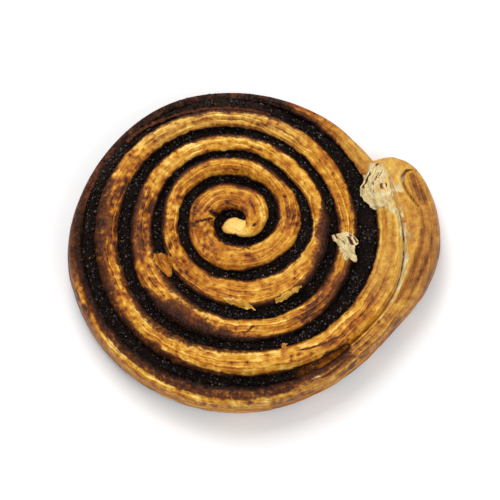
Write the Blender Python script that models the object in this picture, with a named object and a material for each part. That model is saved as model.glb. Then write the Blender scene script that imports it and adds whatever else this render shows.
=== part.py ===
"""A danish pastry snail, lying flat: one strip of laminated dough rolled round its eye, with a dark
grainy filling in the seam between the turns and the strip's bare end laid round the east side.

Sizes are in millimetres until a mesh is made. A place on the snail is a turn angle in degrees, which
starts east of the eye, runs anticlockwise seen from above and keeps counting from turn to turn.
"""

import bmesh
import bpy
import numpy as np

MM = 0.001
TURN = 360.0

# Distance from the eye to the middle of the seam, one row a turn, at each eighth of the turn from east.
SEAM_STEP = 45.0
SEAM_RADIUS = (
    (2.6, 4.9, 6.3, 7.2, 6.6, 4.7, 4.1, 6.1),
    (12.0, 17.4, 19.1, 20.9, 19.9, 18.3, 17.6, 20.5),
    (26.3, 26.9, 28.7, 30.6, 29.8, 29.9, 31.7, 35.6),
    (36.7, 36.2, 38.1, 40.6, 42.2, 44.1, 44.0, 47.9),
    (49.5, 48.3, 49.2, 52.6, 55.7, 57.0, 57.1, 60.5),
)
# Width of the filled groove at the same places.
GROOVE_WIDTH = (
    (1.5, 1.6, 2.4, 3.4, 2.1, 3.2, 3.2, 3.4),
    (3.6, 2.6, 2.4, 3.2, 3.0, 2.6, 3.0, 3.8),
    (3.8, 1.7, 2.2, 1.6, 2.8, 2.6, 3.8, 3.8),
    (2.6, 2.6, 2.6, 3.4, 4.5, 3.4, 3.0, 5.2),
    (7.1, 4.4, 4.2, 3.2, 4.6, 4.1, 3.8, 3.4),
)
# The seam winds up to nothing at the eye. It is open, and filled, between these two turn angles.
EYE_ANGLE = -45.0
GROOVE_START = 45.0
GROOVE_END = 1755.0
GROOVE_TAPER = 25.0
# Past the filling the strip's end sticks to the turn inside it, up to the notch: the crease between them.
NOTCH_ANGLE = 1829.0
CREASE_RADIUS = ((1785.0, 64.1), (1805.0, 62.4), (NOTCH_ANGLE, 59.2))

# The outline seen from above: turn angle and distance from the eye.
RIM_RADIUS = (
    (1469.0, 59.2),
    (1485.0, 57.6),
    (1500.0, 55.9),
    (1530.0, 55.1),
    (1560.0, 57.3),
    (1590.0, 59.4),
    (1605.0, 61.4),
    (1620.0, 64.0),
    (1650.0, 66.2),
    (1680.0, 67.1),
    (1710.0, 67.9),
    (1740.0, 67.9),
    (1755.0, 68.5),
    (1770.0, 70.5),
    (1785.0, 75.7),
    (1796.0, 78.0),
    (1806.0, 77.6),
    (1811.0, 76.9),
    (1816.0, 75.8),
    (1821.2, 73.5),
    (1825.2, 69.4),
    (1827.9, 64.4),
    (NOTCH_ANGLE, 59.2),
)
# Height of the strip's crown, and of the outer edge where its top turns down into the side.
CROWN_HEIGHT = (
    (-405.0, 22.0),
    (-45.0, 22.0),
    (0.0, 22.6),
    (180.0, 24.5),
    (400.0, 25.5),
    (760.0, 25.0),
    (1120.0, 23.0),
    (1400.0, 21.5),
    (1530.0, 17.5),
    (1640.0, 19.5),
    (1760.0, 18.5),
    (1806.0, 17.0),
    (1820.0, 16.0),
    (1826.0, 13.5),
    (NOTCH_ANGLE, 9.0),
)
RIM_EDGE_HEIGHT = (
    (1469.0, 9.0),
    (1482.0, 13.0),
    (1530.0, 14.0),
    (1620.0, 13.0),
    (1755.0, 13.0),
    (1800.0, 11.0),
    (1822.0, 9.5),
    (NOTCH_ANGLE, 9.0),
)
# Share of the strip's width over which the relief fades out at each edge.
EDGE_FADE = 0.25
# How far the strip's edges fall below its crown: at the filled groove, and at the bare crease.
GROOVE_FALL = 3.0
CREASE_FALL = 1.2
FALL_BLEND = 30.0
SHOULDER_LENGTH = 3.6
# The crown rises and sinks along the strip in two slow waves: waves a turn, height and phase.
CROWN_WAVES = ((2.7, 0.45, 0.4), (6.3, 0.30, 1.9))
# Layers of the dough show as long steps in the crown: share across, depth, waves a turn and phase.
LAYER_STEPS = ((0.31, 0.55, 1.3, 0.6), (0.69, 0.50, 1.7, 2.2))
LAYER_HALF_WIDTH = 0.14
LAYER_SWELL = 0.4
# Torn flakes stand proud and tears sink in: turn angle, share across, half length in degrees, half
# width as a share of the strip, and height.
TEARS = (
    (1069.0, 0.50, 7.0, 0.60, 0.9),
    (628.0, 0.80, 13.0, 0.25, 0.9),
    (667.0, 0.85, 11.0, 0.25, 0.8),
    (1371.0, 0.70, 7.0, 0.30, 0.7),
    (1455.0, 0.35, 9.0, 0.35, 1.0),
    (1463.5, 0.62, 5.0, 0.22, -1.3),
    (1811.0, 0.66, 8.0, 0.22, -1.4),
    (1800.0, 0.36, 13.0, 0.16, -0.8),
    (1640.0, 0.45, 25.0, 0.35, -0.6),
)

# The outer side: how far it draws in below the outline, at shares of its height from the edge down.
SIDE_HEIGHT_SHARES = (1.0, 0.5, 0.18, 0.0)
SIDE_INSETS = (1.0, 0.0, 0.6, 2.0)
SIDE_INSET_LIMIT = 0.35
SIDE_BLEND = 10.0
TANGENT_STEP = 0.25

# The filling: its clearance to the dough, how far it sinks below the dough's edges, and how much a wide
# stretch heaps up in the middle.
FIT_GAP = 0.3
FILLING_SINK = 0.9
HEAP_SHARE = 0.22
FILLING_WAVES = ((7.3, 0.22, 0.3), (13.1, 0.18, 1.1))
NARROW_WIDTH = 2.5
THINNEST_FILLING = 0.3

# Stations along the strip: where each spacing starts, and the closer ones that round the strip's tip.
STATION_SPACING = ((-405.0, 12.0), (360.0, 7.5), (1080.0, 5.0), (NOTCH_ANGLE, 5.0))
TIP_ANGLES = (1812.5, 1817.5, 1821.5, 1823.5, 1826.5, 1828.0, NOTCH_ANGLE)
TOP_SHARES = 0.5 - 0.5 * np.cos(np.linspace(0.0, np.pi, 9))
FILLING_SHARES = np.linspace(0.0, 1.0, 5)
# The last section of the groove before it closes, in degrees from its end.
END_STEP = 2.5
WELD = 1e-6


def smooth(knots, angle):
    """A smooth curve through (angle, value) knots, held level past the first and the last."""
    at, value = (np.array(column, float) for column in zip(*knots))
    slope = np.gradient(value, at)
    angle = np.clip(angle, at[0], at[-1])
    left = np.clip(np.searchsorted(at, angle, side="right") - 1, 0, len(at) - 2)
    span = at[left + 1] - at[left]
    t = (angle - at[left]) / span
    return (
        value[left] * (1 + 2 * t) * (1 - t) ** 2
        + slope[left] * span * t * (1 - t) ** 2
        + value[left + 1] * t**2 * (3 - 2 * t)
        + slope[left + 1] * span * t**2 * (t - 1)
    )


def around(rows):
    """Knots from rows of values, one row a turn and one value each eighth of it."""
    values = [value for row in rows for value in row]
    return [(i * SEAM_STEP, value) for i, value in enumerate(values)]


SEAM_KNOTS = [(EYE_ANGLE, 0.0), *around(SEAM_RADIUS), *CREASE_RADIUS]
WIDTH_KNOTS = around(GROOVE_WIDTH)


def seam_radius(angle):
    return np.maximum(smooth(SEAM_KNOTS, angle), 0.0)


def groove_width(angle):
    """Width of the open seam: it closes in a rounded end at both ends."""
    ends = np.minimum(angle - GROOVE_START, GROOVE_END - angle) / GROOVE_TAPER
    return smooth(WIDTH_KNOTS, angle) * np.sqrt(np.clip(ends, 0.0, 1.0))


def wave_height(waves, angle):
    """Sum of the waves given as count a turn, height and phase."""
    turned = np.radians(angle)
    return sum(height * np.sin(turned * count + phase) for count, height, phase in waves)


def crown_height(angle):
    waves = wave_height(CROWN_WAVES, angle)
    calm_ends = np.clip(min(NOTCH_ANGLE - angle, angle) / FALL_BLEND, 0.0, 1.0)
    return smooth(CROWN_HEIGHT, angle) + waves * calm_ends


def edge_height(angle):
    """Height of the dough's edge at the seam: both sides of the seam share it."""
    angle = np.maximum(angle, EYE_ANGLE)
    fall = GROOVE_FALL * np.clip((angle - GROOVE_START) / FALL_BLEND, 0.0, 1.0)
    bare = np.clip((angle - GROOVE_END) / FALL_BLEND, 0.0, 1.0)
    fall = fall + (CREASE_FALL - fall) * bare
    lower = np.minimum(crown_height(angle), crown_height(angle - TURN))
    fade = np.clip((NOTCH_ANGLE - angle) / FALL_BLEND, 0.0, 1.0)
    return np.maximum(lower - fall * fade, smooth(RIM_EDGE_HEIGHT, NOTCH_ANGLE))


def on_rim(angle):
    """True where the outer edge of the strip is the outline, and not the next turn's seam."""
    return angle + TURN > NOTCH_ANGLE


def rim_inset(angle, thickness, inset):
    """How far the side draws in: nothing at the notch, and never more than a thin strip can give."""
    from_notch = np.minimum(angle + TURN - NOTCH_ANGLE, NOTCH_ANGLE - angle)
    blend = np.clip(from_notch / SIDE_BLEND, 0.0, 1.0)
    return blend * min(inset, SIDE_INSET_LIMIT * thickness)


def point(angle, radius):
    a = np.radians(angle)
    return np.array((radius * np.cos(a), radius * np.sin(a)))


def rim_point(angle, inset):
    """A point on the outline, moved in by the inset square to it."""
    before = np.maximum(angle - TANGENT_STEP, NOTCH_ANGLE - TURN)
    after = np.minimum(angle + TANGENT_STEP, NOTCH_ANGLE)
    along = point(after, smooth(RIM_RADIUS, after)) - point(before, smooth(RIM_RADIUS, before))
    outward = np.array((along[1], -along[0])) / np.hypot(*along)
    return point(angle, smooth(RIM_RADIUS, angle)) - outward * inset


def fall_shape(share):
    """1 at the edge and 0 past the shoulder, along a quarter ellipse."""
    return 1 - np.sqrt(1 - (1 - np.clip(share, 0.0, 1.0)) ** 2)


def relief(angle, share):
    """Height of the layer steps, torn flakes and tears above the plain crown, none at the edges."""
    height = 0.0
    for middle, depth, count, phase in LAYER_STEPS:
        across = np.clip(1 - ((share - middle) / LAYER_HALF_WIDTH) ** 2, 0.0, 1.0)
        swell = 1 - np.sin(np.radians(angle) * count + phase)
        height -= depth * across * (1 - LAYER_SWELL * swell)
    height *= np.clip(min(NOTCH_ANGLE - angle, angle) / FALL_BLEND, 0.0, 1.0)
    for turn_angle, middle, half_length, half_width, rise in TEARS:
        along = (angle - turn_angle) / half_length
        across = (share - middle) / half_width
        height += rise * max(0.0, 1 - along**2 - across**2) ** 0.5
    return height * np.clip(min(share, 1 - share) / EDGE_FADE, 0.0, 1.0)


def dough_section(angle):
    """The strip cut across: its inner wall, top and outer wall, as three rows of points."""
    inner = point(angle, seam_radius(angle) + groove_width(angle) / 2)
    inner_edge = edge_height(angle)
    if on_rim(angle):
        thickness = smooth(RIM_RADIUS, angle) - np.hypot(*inner)
        insets = [rim_inset(angle, thickness, inset) for inset in SIDE_INSETS]
        outer_row = [rim_point(angle, inset) for inset in insets]
        outer_edge = smooth(RIM_EDGE_HEIGHT, angle)
    else:
        seam = angle + TURN
        outer = point(seam, seam_radius(seam) - groove_width(seam) / 2)
        outer_row = [outer] * len(SIDE_INSETS)
        outer_edge = edge_height(seam)
    outer = outer_row[0]
    crown = crown_height(angle)
    width = max(np.hypot(*(outer - inner)), WELD)
    shoulder = min(0.5, SHOULDER_LENGTH / width)
    top = [
        (
            *(inner + (outer - inner) * share),
            crown
            + relief(angle, share)
            - (crown - inner_edge) * fall_shape(share / shoulder)
            - (crown - outer_edge) * fall_shape((1 - share) / shoulder),
        )
        for share in TOP_SHARES
    ]
    inner_wall = [(*inner, inner_edge * share) for share in SIDE_HEIGHT_SHARES]
    outer_wall = [
        (*place, outer_edge * share) for place, share in zip(outer_row, SIDE_HEIGHT_SHARES)
    ]
    return inner_wall, top, outer_wall


def filling_section(angle):
    """The filling cut across, as one loop: along its top, then its two feet."""
    middle = seam_radius(angle)
    half = groove_width(angle) / 2 - FIT_GAP
    heap = max(0.0, HEAP_SHARE * (2 * half - NARROW_WIDTH))
    level = edge_height(angle) - FILLING_SINK + wave_height(FILLING_WAVES, angle)
    across = middle + half * (2 * FILLING_SHARES - 1)
    rise = heap * (1 - (2 * FILLING_SHARES - 1) ** 2)
    top = [(*point(angle, radius), level + up) for radius, up in zip(across, rise)]
    return top + [(*point(angle, across[-1]), 0.0), (*point(angle, across[0]), 0.0)]


def stations():
    """Turn angles of the sections. Where two turns are one piece of dough, both have the same."""
    angles = set()
    for (start, spacing), (end, _) in zip(STATION_SPACING, STATION_SPACING[1:]):
        angles.update(float(angle) for angle in np.arange(start, end, spacing))
    angles.update((GROOVE_START + END_STEP, GROOVE_END - END_STEP))
    for angle in (EYE_ANGLE, GROOVE_START, GROOVE_END, *TIP_ANGLES):
        angles.update((angle, angle - TURN))
    return sorted(angles)


def quads_between(mesh, before, after):
    """Faces between two rows of vertices, wound so that they face up or out."""
    for i in range(len(before) - 1):
        mesh.faces.new((before[i], after[i], after[i + 1], before[i + 1]))


def finish_mesh(mesh, name, colour, roughness):
    """Welds the seams, makes the object and gives it its material."""
    bmesh.ops.remove_doubles(mesh, verts=mesh.verts, dist=WELD)
    bmesh.ops.dissolve_degenerate(mesh, edges=mesh.edges, dist=WELD)
    bmesh.ops.recalc_face_normals(mesh, faces=mesh.faces)
    data = bpy.data.meshes.new(name)
    mesh.to_mesh(data)
    mesh.free()
    data.shade_smooth()
    data.set_sharp_from_angle(angle=np.radians(50.0))
    material = bpy.data.materials.new(name)
    material.use_nodes = True
    shader = material.node_tree.nodes["Principled BSDF"]
    shader.inputs["Base Color"].default_value = (*colour, 1.0)
    shader.inputs["Roughness"].default_value = roughness
    shader.inputs["Metallic"].default_value = 0.0
    data.materials.append(material)
    piece = bpy.data.objects.new(name, data)
    bpy.context.scene.collection.objects.link(piece)
    return piece


def make_dough(centre):
    """The strip, station by station. Walls stand only where the seam is open or the strip ends."""
    mesh = bmesh.new()
    angles = stations()
    rows = []
    for angle in angles:
        section = dough_section(angle)
        rows.append([[mesh.verts.new((np.array(p) - centre) * MM) for p in row] for row in section])
    for first, second, before, after in zip(rows, rows[1:], angles, angles[1:]):
        middle = (before + after) / 2
        quads_between(mesh, second[1], first[1])
        mesh.faces.new((first[0][-1], second[0][-1], second[2][-1], first[2][-1]))
        if GROOVE_START < middle < GROOVE_END:
            quads_between(mesh, first[0], second[0])
        if GROOVE_START < middle + TURN < GROOVE_END or on_rim(middle):
            quads_between(mesh, second[2], first[2])
    return finish_mesh(mesh, "dough", (0.62, 0.33, 0.10), 0.55)


def make_filling(centre):
    mesh = bmesh.new()
    angles = [
        angle for angle in stations() if groove_width(angle) > 2 * FIT_GAP + THINNEST_FILLING
    ]
    loops = [
        [mesh.verts.new((np.array(p) - centre) * MM) for p in filling_section(angle)]
        for angle in angles
    ]
    for first, second in zip(loops, loops[1:]):
        quads_between(mesh, [*second, second[0]], [*first, first[0]])
    mesh.faces.new(loops[0])
    mesh.faces.new(loops[-1])
    return finish_mesh(mesh, "filling", (0.03, 0.018, 0.014), 0.35)


def outline_centre():
    """Middle of the outline's box, which becomes the origin, at the height of the flat foot."""
    points = np.array([rim_point(angle, 0.0) for angle in stations() if on_rim(angle)])
    low, high = points.min(axis=0), points.max(axis=0)
    return np.array((*(low + high) / 2, 0.0))


def main():
    for old in list(bpy.data.objects):
        bpy.data.objects.remove(old)
    centre = outline_centre()
    make_dough(centre)
    make_filling(centre)


main()
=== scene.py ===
"""The looks of a danish pastry snail: baked laminated dough, the dark grainy filling rolled up in it,
its loose grains and torn flakes, and a pale studio floor.

Sizes are in millimetres until a mesh is made. A place on the snail is a turn angle in degrees, which
starts east of the eye, runs anticlockwise seen from above and keeps counting from turn to turn.
"""

import math

import bmesh
import bpy
import numpy as np
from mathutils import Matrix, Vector
from mathutils.bvhtree import BVHTree


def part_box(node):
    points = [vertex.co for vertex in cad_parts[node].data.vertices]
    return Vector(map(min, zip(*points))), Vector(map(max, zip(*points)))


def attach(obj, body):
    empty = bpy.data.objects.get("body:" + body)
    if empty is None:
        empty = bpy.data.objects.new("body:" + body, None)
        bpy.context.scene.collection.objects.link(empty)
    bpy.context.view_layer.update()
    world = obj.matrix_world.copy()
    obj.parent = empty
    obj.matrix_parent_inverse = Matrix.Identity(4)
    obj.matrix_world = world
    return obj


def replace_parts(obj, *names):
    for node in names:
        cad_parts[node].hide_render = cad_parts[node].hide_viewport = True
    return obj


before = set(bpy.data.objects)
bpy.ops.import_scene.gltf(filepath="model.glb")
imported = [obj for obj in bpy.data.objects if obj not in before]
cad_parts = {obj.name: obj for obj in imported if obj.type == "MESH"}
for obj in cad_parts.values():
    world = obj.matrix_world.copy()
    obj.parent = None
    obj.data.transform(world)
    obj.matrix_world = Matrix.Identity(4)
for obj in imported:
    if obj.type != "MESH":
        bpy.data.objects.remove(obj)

bl_info = {
    "name": "Danish pastry snail",
    "version": (1, 0, 0),
    "blender": (4, 5, 0),
    "location": "3D View > Sidebar > Pastry",
    "description": "Builds the baked dough, filling, grains and flakes of a danish pastry snail",
    "category": "Object",
}

MM = 0.001
TURN = 360.0
BODY = "root"

# ---- the snail's plan
# Distance from the eye to the middle of the seam, one row a turn, at each eighth of the turn from east.
SEAM_STEP = 45.0
SEAM_RADIUS = (
    (2.6, 4.9, 6.3, 7.2, 6.6, 4.7, 4.1, 6.1),
    (12.0, 17.4, 19.1, 20.9, 19.9, 18.3, 17.6, 20.5),
    (26.3, 26.9, 28.7, 30.6, 29.8, 29.9, 31.7, 35.6),
    (36.7, 36.2, 38.1, 40.6, 42.2, 44.1, 44.0, 47.9),
    (49.5, 48.3, 49.2, 52.6, 55.7, 57.0, 57.1, 60.5),
)
GROOVE_WIDTH = (
    (1.5, 1.6, 2.4, 3.4, 2.1, 3.2, 3.2, 3.4),
    (3.6, 2.6, 2.4, 3.2, 3.0, 2.6, 3.0, 3.8),
    (3.8, 1.7, 2.2, 1.6, 2.8, 2.6, 3.8, 3.8),
    (2.6, 2.6, 2.6, 3.4, 4.5, 3.4, 3.0, 5.2),
    (7.1, 4.4, 4.2, 3.2, 4.6, 4.1, 3.8, 3.4),
)
EYE_ANGLE = -45.0
EYE_SIZE = 0.3
GROOVE_START = 45.0
GROOVE_END = 1755.0
GROOVE_TAPER = 25.0
NOTCH_ANGLE = 1829.0
CREASE_RADIUS = ((1785.0, 64.1), (1805.0, 62.4), (NOTCH_ANGLE, 59.2))
RIM_RADIUS = (
    (1469.0, 59.2), (1485.0, 57.6), (1500.0, 55.9), (1530.0, 55.1), (1560.0, 57.3), (1590.0, 59.4),
    (1605.0, 61.4), (1620.0, 64.0), (1650.0, 66.2), (1680.0, 67.1), (1710.0, 67.9), (1740.0, 67.9),
    (1755.0, 68.5), (1770.0, 70.5), (1785.0, 75.7), (1796.0, 78.0), (1806.0, 77.6), (1811.0, 76.9),
    (1816.0, 75.8), (1821.2, 73.5), (1825.2, 69.4), (1827.9, 64.4), (NOTCH_ANGLE, 59.2),
)
CROWN_HEIGHT = (
    (-405.0, 22.0), (-45.0, 22.0), (0.0, 22.6), (180.0, 24.5), (400.0, 25.5), (760.0, 25.0), (1120.0, 23.0),
    (1400.0, 21.5), (1530.0, 17.5), (1640.0, 19.5), (1760.0, 18.5), (1806.0, 17.0), (1820.0, 16.0),
    (1826.0, 13.5), (NOTCH_ANGLE, 9.0),
)
RIM_EDGE_HEIGHT = (
    (1469.0, 9.0), (1482.0, 13.0), (1530.0, 14.0), (1620.0, 13.0), (1755.0, 13.0), (1800.0, 11.0),
    (1822.0, 9.5), (NOTCH_ANGLE, 9.0),
)
GROOVE_FALL = 3.0
CREASE_FALL = 1.2
FALL_BLEND = 30.0
SHOULDER_LENGTH = 3.6
CROWN_WAVES = ((2.7, 0.45, 0.4), (6.3, 0.30, 1.9))
LAYER_STEPS = ((0.31, 0.55, 1.3, 0.6), (0.69, 0.50, 1.7, 2.2))
LAYER_HALF_WIDTH = 0.14
LAYER_SWELL = 0.4
EDGE_FADE = 0.25
# Torn flakes and tears: turn angle, share across, half length in degrees, half width, height.
TEARS = (
    (1069.0, 0.50, 7.0, 0.60, 0.9), (628.0, 0.80, 13.0, 0.25, 0.9),
    (667.0, 0.85, 11.0, 0.25, 0.8), (1371.0, 0.70, 7.0, 0.30, 0.7),
    (1455.0, 0.35, 9.0, 0.35, 1.0), (1463.5, 0.62, 5.0, 0.22, -1.3),
    (1811.0, 0.66, 8.0, 0.22, -1.4), (1800.0, 0.36, 13.0, 0.16, -0.8),
    (1640.0, 0.45, 25.0, 0.35, -0.6),
)
SIDE_INSETS = ((0.0, 2.0), (0.18, 0.6), (0.5, 0.0), (1.0, 1.0))
SIDE_INSET_LIMIT = 0.35
SIDE_BLEND = 10.0
TANGENT_STEP = 0.25
HEAP_SHARE = 0.22
# How far the filling's sides are tucked into the dough.
TUCK = 0.6
# How far inside the groove's ends the filling begins and stops, in degrees.
FILLING_GAP = 0.5
NARROW_WIDTH = 2.5
FILLING_WAVES = ((7.3, 0.22, 0.3), (13.1, 0.18, 1.1))

# How finely the looks are meshed: station spacing along, points across, rows down the sides.
STATION_SPACING = ((-405.0, 3.0), (360.0, 1.25), (720.0, 1.0), (1080.0, 0.6), (NOTCH_ANGLE, 0.6))
TOP_POINTS = 33
GROOVE_WALL_SHARES = (0.0, 0.6, 1.0)
RIM_WALL_ROWS = 15
FILLING_POINTS = 13
# Where each grid starts across the UV map, in millimetres, so that they lie apart.
GROOVE_UV = 30.0
RIM_UV = -60.0
FOOT_UV = (90.0, 95.0, 100.0)
SHEET_UV = 200.0
FINE_SPACING = 0.25
FINE_START = 1818.0
WELD = 1e-7

# Parts of the strip by turn angle: where each one starts, is full, is full still and ends.
HEAPED = (1498.0, 1530.0, 1585.0, 1628.0)
BESIDE_TAIL = (1402.0, 1425.0, 1470.0, 1500.0)
MOTTLED_RIM = (1575.0, 1600.0, 1730.0, 1760.0)
MIDDLE_TURNS = (60.0, 200.0, 1700.0, 1760.0)
TORN_LIPS = (1760.0, 1784.0, 1812.0, 1824.0)
# Where painted shade darkens the crack at the strip's end.
SHADED_CRACK = (1770.0, 1790.0, 1805.0, 1811.0)
OCHRE_SOUTH = (1120.0, 1145.0, 1205.0, 1225.0)
SMEARED_WALL = (1505.0, 1520.0, 1612.0, 1640.0)
BURNT_WALL = (1600.0, 1640.0, 1760.0, 1800.0)
# Parts with one end that fades: where each one is 0 and where it is 1.
TAIL = (1760.0, 1785.0)
PAST_EYE = (-45.0, 60.0)
TONGUE = (60.0, 0.0)
FULL_LAYERS = (360.0, 480.0)
WIDE_SMEAR = (1665.0, 1640.0)
SOLID_SMEAR = (1600.0, 1630.0)
SOLID_SMEAR_END = (1736.0, 1716.0)
RIM_BAND = (1625.0, 1650.0)
RIM_BAND_END = (1760.0, 1730.0)
RIM_FRINGE = (1600.0, 1625.0)
OCHRE_TAIL = (1690.0, 1720.0)
SYRUP = (1728.0, 1744.0)


# ---- curves and noise
def smooth(knots, angle):
    """A smooth curve through (angle, value) knots, held level past the first and the last."""
    at, value = (np.array(column, float) for column in zip(*knots))
    slope = np.gradient(value, at)
    angle = np.clip(angle, at[0], at[-1])
    left = np.clip(np.searchsorted(at, angle, side="right") - 1, 0, len(at) - 2)
    span = at[left + 1] - at[left]
    t = (angle - at[left]) / span
    return (
        value[left] * (1 + 2 * t) * (1 - t) ** 2
        + slope[left] * span * t * (1 - t) ** 2
        + value[left + 1] * t**2 * (3 - 2 * t)
        + slope[left + 1] * span * t**2 * (t - 1)
    )


def plain(knots, angle):
    """Straight lines between (angle, value) knots."""
    at, value = zip(*knots)
    return np.interp(angle, at, value)


def lift(plan, height):
    """Places in plan with their heights, as points."""
    return np.concatenate((plan, height[..., None]), axis=2)


def strip_uv(along, across):
    return np.stack(np.broadcast_arrays(along, across), axis=2)


def ease(low, high, x):
    """0 below low, 1 above high and smooth between. Works with low and high swapped as well."""
    t = np.clip((x - low) / (high - low), 0.0, 1.0)
    return t * t * (3 - 2 * t)


def within(zone, angle):
    """1 inside a zone, 0 outside and smooth at its two ends."""
    start, full, still_full, end = zone
    return ease(start, full, angle) * ease(end, still_full, angle)


HASH_PRIMES = (73856093, 19349663, 83492791)
HASH_SIZE = 4096


def noise(seed, *coords):
    """Smooth lattice noise from -1 to 1. Each coordinate is an array in lattice cells."""
    table = np.random.RandomState(seed).uniform(-1.0, 1.0, HASH_SIZE)
    coords = np.broadcast_arrays(*coords)
    cells = [np.floor(c).astype(np.int64) for c in coords]
    weights = [c - cell for c, cell in zip(coords, cells)]
    weights = [w * w * (3 - 2 * w) for w in weights]
    total = np.zeros(coords[0].shape)
    for corner in np.ndindex(*(2,) * len(coords)):
        key = np.zeros(coords[0].shape, np.int64)
        share = np.ones(coords[0].shape)
        for cell, w, side, prime in zip(cells, weights, corner, HASH_PRIMES):
            key ^= (cell + side) * prime
            share = share * (w if side else 1 - w)
        total += table[(key ^ (key >> 12)) % HASH_SIZE] * share
    return total


def around(rows, step=SEAM_STEP):
    values = [value for row in rows for value in row]
    return [(i * step, value) for i, value in enumerate(values)]


SEAM_KNOTS = [(EYE_ANGLE, 0.0), *around(SEAM_RADIUS), *CREASE_RADIUS]
WIDTH_KNOTS = around(GROOVE_WIDTH)


def seam_radius(angle):
    """Distance from the eye to the seam; what all but meets the eye is drawn into it."""
    radius = smooth(SEAM_KNOTS, angle)
    return np.where(radius > EYE_SIZE, radius, 0.0)


def groove_width(angle):
    ends = np.minimum(angle - GROOVE_START, GROOVE_END - angle) / GROOVE_TAPER
    return smooth(WIDTH_KNOTS, angle) * np.sqrt(np.clip(ends, 0.0, 1.0))


def wave_height(waves, angle):
    turned = np.radians(angle)
    return sum(height * np.sin(turned * count + phase) for count, height, phase in waves)


def calm_ends(angle):
    return np.clip(np.minimum(NOTCH_ANGLE - angle, angle) / FALL_BLEND, 0.0, 1.0)


def crown_height(angle):
    return smooth(CROWN_HEIGHT, angle) + wave_height(CROWN_WAVES, angle) * calm_ends(angle)


def edge_height(angle):
    """Height of the dough's edge at the seam: both sides of the seam share it."""
    angle = np.maximum(angle, EYE_ANGLE)
    fall = GROOVE_FALL * np.clip((angle - GROOVE_START) / FALL_BLEND, 0.0, 1.0)
    bare = np.clip((angle - GROOVE_END) / FALL_BLEND, 0.0, 1.0)
    fall = fall + (CREASE_FALL - fall) * bare
    lower = np.minimum(crown_height(angle), crown_height(angle - TURN))
    fade = np.clip((NOTCH_ANGLE - angle) / FALL_BLEND, 0.0, 1.0)
    return np.maximum(lower - fall * fade, smooth(RIM_EDGE_HEIGHT, NOTCH_ANGLE))


def polar(angle, radius):
    a = np.radians(angle)
    return np.stack((radius * np.cos(a), radius * np.sin(a)), axis=-1)


def rim_point(angle, inset):
    """Points on the outline, moved in by the inset square to it."""
    before = np.maximum(angle - TANGENT_STEP, NOTCH_ANGLE - TURN)
    after = np.minimum(angle + TANGENT_STEP, NOTCH_ANGLE)
    along = polar(after, smooth(RIM_RADIUS, after)) - polar(before, smooth(RIM_RADIUS, before))
    outward = np.stack((along[..., 1], -along[..., 0]), axis=-1)
    outward /= np.linalg.norm(outward, axis=-1, keepdims=True)
    return polar(angle, smooth(RIM_RADIUS, angle)) - outward * np.asarray(inset)[..., None]


def fall_shape(share):
    return 1 - np.sqrt(1 - (1 - np.clip(share, 0.0, 1.0)) ** 2)


def stations():
    angles = set()
    for (start, spacing), (end, _) in zip(STATION_SPACING, STATION_SPACING[1:]):
        count = math.ceil((end - start) / spacing)
        angles.update(np.round(start + np.arange(count) * spacing, 4))
    for angle in (EYE_ANGLE, GROOVE_START, GROOVE_END, NOTCH_ANGLE):
        angles.update((angle, angle - TURN))
    for angle in np.round(np.arange(FINE_START, NOTCH_ANGLE, FINE_SPACING), 4):
        angles.update((angle, round(angle - TURN, 4)))
    return np.array(sorted(angles))


ANGLES = stations()
RIM_ANGLES = ANGLES[ANGLES >= NOTCH_ANGLE - TURN]
# Where the eye is in plan, from the outline's least x and y and the solid's box.
EYE = np.array(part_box("dough")[0])[:2] / MM - rim_point(RIM_ANGLES, 0 * RIM_ANGLES).min(axis=0)


# The strip is never wider than this when its length is measured.
WIDEST = 14.0


def strip_length(angle):
    """Distance along the strip in millimetres, measured at its own middle."""
    at = np.arange(EYE_ANGLE - TURN, NOTCH_ANGLE + 1.0, 1.0)
    middle = (seam_radius(at) + np.minimum(seam_radius(at + TURN), seam_radius(at) + WIDEST)) / 2
    length = np.concatenate(([0.0], np.cumsum((middle[1:] + middle[:-1]) / 2 * np.radians(1.0))))
    return np.interp(angle, at, length)


# ---- how the dough was baked, and the light and shade painted on it
# How far filling has smeared over the dough past each side of the groove, one row a turn, at each
# twelfth of the turn from east.
SMEAR_STEP = 30.0
SMEAR_PAST_GROOVE = (
    (0.20, 0.26, 0.30, 0.12, 0.12, 0.12, 0.20, 0.10, 0.49, 0.61, 1.01, 0.21),
    (1.15, 0.52, 0.10, 0.10, 0.10, 0.10, 0.10, 0.35, 0.74, 0.44, 0.63, 0.87),
    (0.43, 0.10, 0.10, 0.10, 0.10, 0.36, 0.54, 1.60, 1.13, 0.58, 0.12, 1.07),
    (0.60, 0.20, 0.10, 0.10, 0.10, 0.37, 0.10, 1.10, 1.30, 0.67, 0.10, 0.10),
    (0.40, 0.10, 1.00, 8.00, 8.00, 4.80, 4.20, 3.20, 3.60, 4.60, 2.20, 0.20),
)
SMEAR_BEFORE_GROOVE = (
    (0.20, 0.15, 0.12, 0.12, 0.38, 0.15, 0.10, 0.10, 0.10, 0.10, 0.10, 0.10),
    (0.10, 0.10, 0.63, 1.11, 0.99, 0.10, 0.73, 0.10, 0.10, 0.10, 0.48, 0.10),
    (0.10, 0.10, 0.89, 0.38, 0.84, 0.84, 1.02, 0.10, 0.87, 0.40, 0.88, 1.59),
    (2.80, 0.10, 0.80, 1.06, 0.79, 0.45, 1.49, 0.19, 5.20, 1.44, 0.10, 1.30),
    (1.00, 0.50, 0.80, 1.30, 1.20, 0.30, 3.20, 1.58, 1.00, 0.10, 0.10, 0.86),
)
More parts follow.
